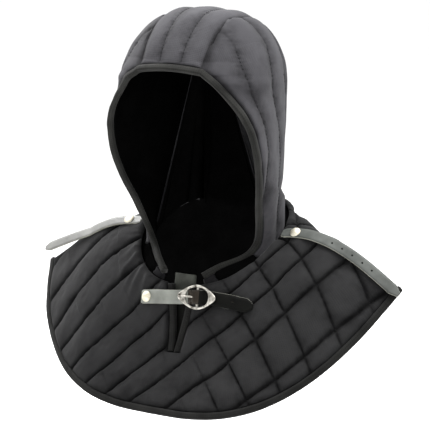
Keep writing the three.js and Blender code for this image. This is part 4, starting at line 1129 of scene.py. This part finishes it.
# The straps are black glossy leather. Their greys are painted reflections of the bright surround: grey on
# the front strap before the bar and on the chape, dark grey on the left shoulder strap, mid grey on the
# right one.
grey_reflection_leather = leather("grey_reflection_leather", (0.12, 0.125, 0.112), (0.19, 0.2, 0.178), 0.42)
left_reflection_leather = leather("dark_grey_reflection_leather", (0.045, 0.048, 0.044), (0.085, 0.09, 0.084), 0.5, 0.12)
right_reflection_leather = leather("mid_grey_reflection_leather", (0.1, 0.1, 0.095), (0.16, 0.16, 0.152), 0.45)
black_leather = leather("black_leather", (0.0012, 0.0013, 0.001), (0.0035, 0.0037, 0.003), 0.55, 0.06)
# Dark brown, a little paler than the black: a dim painted reflection on the strap's hump inside the
# buckle, and the mark of the tail's slot.
brown_leather = leather("dark_brown_leather", (0.008, 0.006, 0.004), (0.035, 0.027, 0.02), 0.4, 0.12)
# Pale cut edges of the straps: partly the raw edge's colour and partly a painted highlight along it.
cut_edge_and_highlight = leather("cut_leather_edge_and_highlight", (0.16, 0.16, 0.135), (0.25, 0.25, 0.215), 0.6, 0.1)
tongue_leather = leather("tongue_leather", (0.018, 0.019, 0.016), (0.055, 0.058, 0.05), 0.5, 0.1)


def throat_tongue():
    table = through(TONGUE_ROWS, np.linspace(0, 6, 73))
    at, normal = on_front(SLIT_X + 0 * table[:, 0], table[:, 0])
    up = unit(normal * np.array([0, 1, 1]))
    at = at - up * (LINING_DEPTH + 0.6)
    k = np.concatenate([np.linspace(-1, 1, 21), np.linspace(1, -1, 21)])
    low = np.concatenate([np.zeros(21), np.full(21, TONGUE_THICK)])
    low[[0, 20]], low[[21, 41]] = 0.5, TONGUE_THICK - 0.5
    reach = table[:, 1:] * k[None, :]
    section = np.stack([reach, -(reach**2) / TONGUE_CURVE - low[None, :]], -1)
    marks = np.repeat((table[1:, 0] < TONGUE_BLACK_TOP).astype(int), 42).tolist() + [0, 1]
    level = np.zeros_like(at) + np.array([1, 0, 0])
    made = tube("leather_tongue", at, level, up, section, [tongue_leather, black_leather], marks)
    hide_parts("throat_tongue")


throat_tongue()

# ---- Front strap ---------------------------------------------------------------------
# A leather strap riveted at its fixed end, led up over the buckle's bar, where the prong holds it, down
# under the frame and on to a clipped tip. It is black leather, painted grey before the bar and dark brown
# over its hump there: painted reflections of the bright surround.
FRONT_STRAP = [(-47.5, -333), (-18, -328), (26, -323.5), (62, -326), (97.5, -329.5)]
BAR_HEIGHT, BAR_RADIUS, CHAPE_THICK, CHAPE_REACH, PRONG_RADIUS = 4.4, 1.7, 1, 40, 1.1
STRAP_THICK, FRONT_STRAP_WIDTH, BUCKLE_AT, ON_QUILTING = 2, 16.5, 0.54, 4.8
HUMP_FROM, BLACK_FROM, SLOT_AT = -13, 4, 43  # along the strap from the buckle's bar


def strap_curve(share):
    table = through(FRONT_STRAP, np.asarray(share) * 4)
    at, normal = on_front(table[..., 0], table[..., 1])
    return at + normal * ON_QUILTING


strap_line = evenly(strap_curve, 240)


def strap_frame(share):
    share = np.asarray(share, float)
    at = strap_line(share)
    low, high = np.maximum(share - 0.02, 0), np.minimum(share + 0.02, 1)
    along = unit(strap_line(high) - strap_line(low))
    _, hide = on_front(at[..., 0], at[..., 2])
    across = unit(np.cross(hide, along))
    across = np.where(across[..., 2:] < 0, -across, across)
    up = unit(np.cross(across, along))
    up = np.where((up * hide).sum(-1, keepdims=True) < 0, -up, up)
    return at, along, across, up


def strap_height(u):
    bar_top = BAR_HEIGHT + BAR_RADIUS + CHAPE_THICK + 0.6
    chape_top = 2 * CHAPE_THICK + 0.6
    before = blend(bar_top, 0, smooth(-u, 3, 12))
    after_bar = blend(bar_top, chape_top, smooth(u, 3, 10.5))
    beyond = blend(after_bar, 0, smooth(u, CHAPE_REACH + 2, CHAPE_REACH + 12))
    return np.where(u < 0, before, beyond)


def strap_section(reach, thick):
    """A flat strap's section with eased corners."""
    ease = 0.45
    low = [(-1, ease), (-0.97, 0), (0, 0), (0.97, 0), (1, ease)]
    high = [(x, thick) for x in (0.97, 0.5, 0, -0.5, -0.97)]
    flat = np.array([*low, (1, thick - ease), *high, (-1, thick - ease)])
    section = np.repeat(flat[None], len(reach), 0)
    section[..., 0] *= reach[:, None]
    return section


EDGE_SIDES = (3, 4, 5, 10, 11, 0)


def strap_marks(count, edge, body):
    """Materials of a strap's faces: its cut edges apart from its body."""
    marks = np.full((count - 1, 12), body)
    marks[:, EDGE_SIDES] = edge
    return marks.ravel().tolist() + [edge, edge]


def punched(name, places, ups, alongs, long, wide, material):
    """Small oval marks of punched holes, level with the hide."""
    turn = np.linspace(0, 2 * math.pi, 14, endpoint=False)
    points, faces = [], []
    for at, up, along in zip(places, ups, alongs):
        side = np.cross(up, along)
        base = len(points)
        for rise in (-0.5, 0.12):
            for t in turn:
                spot = along * math.cos(t) * long / 2 + side * math.sin(t) * wide / 2
                points.append(at + spot + up * rise)
        low, high = list(range(base, base + 14)), list(range(base + 14, base + 28))
        faces += [low[::-1], high]
        faces += [(low[k], low[(k + 1) % 14], high[(k + 1) % 14], high[k]) for k in range(14)]
    made = piece(name, np.array(points), faces, [material])


def front_strap():
    count = 260
    share = np.linspace(0, 1, count)
    at, along, across, up = strap_frame(share)
    u = (share - BUCKLE_AT) * strap_line.length
    at = at + up * strap_height(u)[:, None]
    from_end = np.minimum(share * strap_line.length + 6, (1 - share) * strap_line.length)
    reach = blend(0.4, 1, clamp01(from_end / 8)) * FRONT_STRAP_WIDTH / 2
    marks = np.reshape(strap_marks(count, 1, 0)[:-2], (count - 1, 12))
    # Painted reflection on the black strap: grey up to the hump, dark brown over it, black on the tail,
    # where one cut edge stays pale as a painted highlight.
    toned, black_tail = u[1:] > HUMP_FROM, u[1:] > BLACK_FROM
    marks[toned] = 3
    marks[black_tail] = 2
    marks[black_tail, 3:6] = 1
    leathers = [grey_reflection_leather, cut_edge_and_highlight, black_leather, brown_leather]
    section = strap_section(reach, STRAP_THICK)
    made = tube("throat_strap", at, across, up, section, leathers, marks.ravel().tolist() + [1, 2])
    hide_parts("front_strap")
    k = int(np.argmax(u > SLOT_AT))
    top = at[k : k + 1] + up[k : k + 1] * STRAP_THICK
    punched("tail_slot", top, up[k : k + 1], along[k : k + 1], 4.2, 0.8, brown_leather)


front_strap()

# ---- Buckle chape --------------------------------------------------------------------
# A narrow leather strap folded round the buckle's bar, its two ends one over the other and
# sewn down under the strap's tail.
b_at, b_along, b_across, b_up = (v[0] for v in strap_frame(np.array([BUCKLE_AT])))


def laid(points):
    """Points along, across and up from the buckle's bar, in its own flat frame."""
    points = np.asarray(points, float)
    return b_at + points[..., :1] * b_along + points[..., 1:2] * b_across + points[..., 2:] * b_up


def buckle_chape():
    inner = BAR_RADIUS + 0.3
    middle = inner + CHAPE_THICK / 2
    path = [(x, 0.3 + CHAPE_THICK / 2) for x in np.arange(CHAPE_REACH, 1.9, -2)]
    turns = np.radians(np.arange(-80, -291, -15))
    path += [(middle * math.cos(t), BAR_HEIGHT + middle * math.sin(t)) for t in turns]
    upper = 0.45 + 1.5 * CHAPE_THICK
    path += [(x, upper + max(0, 6 - x) * 0.5) for x in np.arange(5, CHAPE_REACH + 0.1, 2)]
    path = np.array(path)
    at, _, across, up = strap_frame(BUCKLE_AT + path[:, 0] / strap_line.length)
    line = at + up * path[:, 1:]
    way = np.gradient(line, axis=0)
    lift = unit(np.cross(across, way))
    section = np.array([(-8, -0.5), (8, -0.5), (8, 0.5), (-8, 0.5)])
    made = tube("folded_chape", line, across, lift, section, [grey_reflection_leather])
    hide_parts("buckle_chape")


buckle_chape()


# ---- Buckle --------------------------------------------------------------------------
# Cast white metal, rubbed bright on its ridges and dark in its hollows: a pointed oval
# frame round a round opening, a straight bar across it and a prong that turns on the bar.
def metal(name, dark, light, rough_low, rough_high):
    """Cast metal: cloudy tarnish over fine pits, smoother where it is rubbed bright."""
    pits = ("TexNoise", {"Scale": 1400}, "Fac", 0.3)
    tarnish, rough = {"Scale": 180, "Detail": 6}, (rough_high, rough_low)
    return rubbed(name, dark, light, (0.34, 0.6), tarnish, rough, pits, Metallic=1.0)


buckle_metal = metal("antique_silver", (0.05, 0.045, 0.035), (0.55, 0.53, 0.48), 0.22, 0.5)
FRAME_LIFT, FRAME_BOW, FRAME_THICK, PRONG_TIP = 1.6, 2.0, 2.8, -22.5
FRAME_LONG, FRAME_HIGH, OPENING_LONG, OPENING_HIGH = 24, 14.5, 14, 11  # half sizes


def buckle_frame():
    turn = np.linspace(0, 2 * math.pi, 128, endpoint=False)
    c, s = np.cos(turn), np.sin(turn)
    pointed, flatter = 0.78 + 0.22 * np.abs(c) ** 6, 1 - 0.06 * np.abs(c)
    outer = np.stack([FRAME_LONG * c * pointed, FRAME_HIGH * s * flatter], -1)
    squared = [np.sign(v) * np.abs(v) ** 0.77 for v in (c, s)]
    inner = np.stack([OPENING_LONG * squared[0], OPENING_HIGH * squared[1]], -1)
    t = np.linspace(0, 2 * math.pi, 16, endpoint=False)
    across = 0.5 - 0.5 * np.sign(np.cos(t)) * np.abs(np.cos(t)) ** 0.8
    high = np.sign(np.sin(t)) * np.abs(np.sin(t)) ** 0.7 * np.where(np.sin(t) > 0, 1.4, 1.0)
    flat = blend(inner[:, None], outer[:, None], across[None, :, None])
    beaded = (s < -0.2) & (c > 0.1)
    beads = (0.22 * np.cos(turn * 44) * beaded)[:, None] * np.maximum(np.sin(t), 0)[None, :]
    z = BAR_HEIGHT + FRAME_LIFT + high[None, :] + beads + FRAME_BOW * (flat[..., 0] / FRAME_LONG) ** 2
    points = laid(np.concatenate([flat, z[..., None]], -1))
    ids = np.arange(128 * 16).reshape(128, 16)
    next_ring = np.roll(ids, -1, 0)
    quads = np.stack([ids, np.roll(ids, -1, 1), np.roll(next_ring, -1, 1), next_ring], -1).reshape(-1, 4)
    made = piece("buckle_ring", points.reshape(-1, 3), quads[:, ::-1].tolist(), [buckle_metal])
    y = np.linspace(-12.4, 12.4, 25)
    bar_at = laid(np.stack([0 * y, y, 0 * y + BAR_HEIGHT], -1))
    round_it = np.linspace(0, 2 * math.pi, 20, endpoint=False)
    section = np.stack([np.cos(round_it), np.sin(round_it)], -1) * BAR_RADIUS
    along, up = (np.repeat(v[None], 25, 0) for v in (b_along, b_up))
    bar = tube("buckle_bar", bar_at, along, up, section, [buckle_metal])
    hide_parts("buckle_frame")


buckle_frame()


def buckle_prong():
    eye = BAR_RADIUS + 0.3 + PRONG_RADIUS
    rest = BAR_HEIGHT + FRAME_LIFT + FRAME_THICK / 2 + FRAME_BOW + 0.3 + PRONG_RADIUS
    path = [(PRONG_TIP, rest - 0.5)]
    path += [(x, blend(rest, BAR_HEIGHT + eye + 0.6, (x + 22) / 18)) for x in np.arange(-20, -3, 1.5)]
    turns = np.radians(np.arange(90, -171, -13))
    path += [(eye * math.cos(a), BAR_HEIGHT + eye * math.sin(a)) for a in turns]
    path = np.array(path)
    line = laid(np.stack([path[:, 0], 0 * path[:, 0], path[:, 1]], -1))
    way = unit(np.gradient(line, axis=0))
    side = np.repeat(b_across[None], len(line), 0)
    round_it = np.linspace(0, 2 * math.pi, 14, endpoint=False)
    thin = np.where(np.arange(len(line)) < 3, 0.75, 1.0)[:, None, None]
    section = np.stack([np.cos(round_it), np.sin(round_it)], -1)[None] * PRONG_RADIUS * thin
    made = tube("prong", line, side, unit(np.cross(side, way)), section, [buckle_metal])
    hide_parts("buckle_prong")


buckle_prong()

# ---- Rivets --------------------------------------------------------------------------
# Turned brass heads with a pale polish, domed, hammered down on the straps' fixed ends: one on
# the front strap and one on each shoulder strap.
RIVET_ROWS = [  # radius, height
    (0.01, 3.4),
    (1.4, 3.32),
    (2.7, 3.1),
    (3.9, 2.7),
    (5.0, 2.1),
    (5.8, 1.4),
    (6.3, 0.8),
    (6.5, 0.35),
    (6.45, 0.05),
    (6.2, 0),
]
rivet_metal = metal("pale_brass", (0.5, 0.46, 0.36), (0.72, 0.69, 0.58), 0.5, 0.7)


def rivet(name, node, at, up):
    radius, height = np.array(RIVET_ROWS).T
    turn = np.linspace(0, 2 * math.pi, 48, endpoint=False)
    up = unit(up)
    side = unit(np.cross(up, np.array([0.3, 1, 0.1])))
    ways = (np.repeat(v[None], len(RIVET_ROWS), 0) for v in (side, np.cross(up, side)))
    section = np.stack([np.cos(turn), np.sin(turn)], -1)[None] * radius[:, None, None]
    made = tube(name, at + up * height[:, None], *ways, section, [rivet_metal])
    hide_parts(node)


r_at, _, _, r_up = (v[0] for v in strap_frame(np.array([8 / strap_line.length])))
rivet("front_rivet_head", "front_rivet", r_at + r_up * (STRAP_THICK + 0.3), r_up)


# ---- Shoulder straps -----------------------------------------------------------------
# A leather strap along each shoulder seam, riveted at the neck end, with a tapered free tip.
# The left one has five punched holes, the right one stands off where the shoulder drops.
SHOULDER_STRAP_WIDTH, STRAP_FROM_SEAM, RIVET_FROM_NECK = 13.5, 7.5, 19
HOLES, HOLE_FROM_TIP, HOLE_PITCH = 5, 38, 14


def shoulder_strap(side, seated, hide, name, node, rivet_name, rivet_node):
    count = 200
    share = np.linspace(0, 1, count)

    def place(share):
        down = blend(0.05, 1.0, share)
        one = np.ones_like(down)
        fore, rear = (mantle_point(FRONT_LINES, k * one, down, one) for k in (5, 6))
        from_edge = STRAP_FROM_SEAM / np.linalg.norm(fore - rear, axis=-1) / 6 * 0.5
        across = 1 - from_edge if side > 0 else from_edge
        e = 0.004
        low, high = np.maximum(across - e, 0), np.minimum(across + e, 1)
        along = front_point(high, down) - front_point(low, down)
        fall = front_point(across, np.minimum(down + e, 1)) - front_point(across, down - e)
        up = unit(np.cross(fall, along))
        up = np.where(up[:, 2:] < 0, -up, up)
        at = front_point(across, down)
        if side < 0:
            at[:, 2] += np.maximum(droop_at(-at[:, 0]) - 9 * np.sin(math.pi * share), 0)
        return at + up * (ON_QUILTING - seated * (1 - smooth(share, 0.08, 0.3)))[:, None], up

    at, up = place(share)
    length = np.linalg.norm(np.diff(at, axis=0), axis=1).sum()
    way = unit(place(np.minimum(share + 0.03, 1))[0] - place(np.maximum(share - 0.03, 0))[0])
    across = unit(np.cross(up, way))
    up = unit(np.cross(way, across))
    from_end = np.minimum(share * length + 5, (1 - share) * length)
    reach = blend(0.4, 1, clamp01(from_end / 9)) * SHOULDER_STRAP_WIDTH / 2
    section = strap_section(reach, STRAP_THICK)
    made = tube(name, at, across, up, section, [hide, cut_edge_and_highlight], strap_marks(count, 1, 0))
    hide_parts(node)
    if side > 0:
        from_tip = [HOLE_FROM_TIP + HOLE_PITCH * n for n in range(HOLES)]
        spots = [int(round((1 - far / length) * (count - 1))) for far in from_tip]
        tops = at[spots] + up[spots] * STRAP_THICK
        punched(name + "_holes", tops, up[spots], way[spots], 2.4, 2.2, black_leather)
    k = int(round(RIVET_FROM_NECK / length * (count - 1)))
    rivet(rivet_name, rivet_node, at[k] + up[k] * (STRAP_THICK + 0.3), up[k])


left_nodes = "strap_left", "shoulder_strap_left", "rivet_left", "shoulder_rivet_left"
right_nodes = "strap_right", "shoulder_strap_right", "rivet_right", "shoulder_rivet_right"
# Both straps are black leather; their different greys are painted reflections.
shoulder_strap(1, 1.7, left_reflection_leather, *left_nodes)
shoulder_strap(-1, 0.6, right_reflection_leather, *right_nodes)
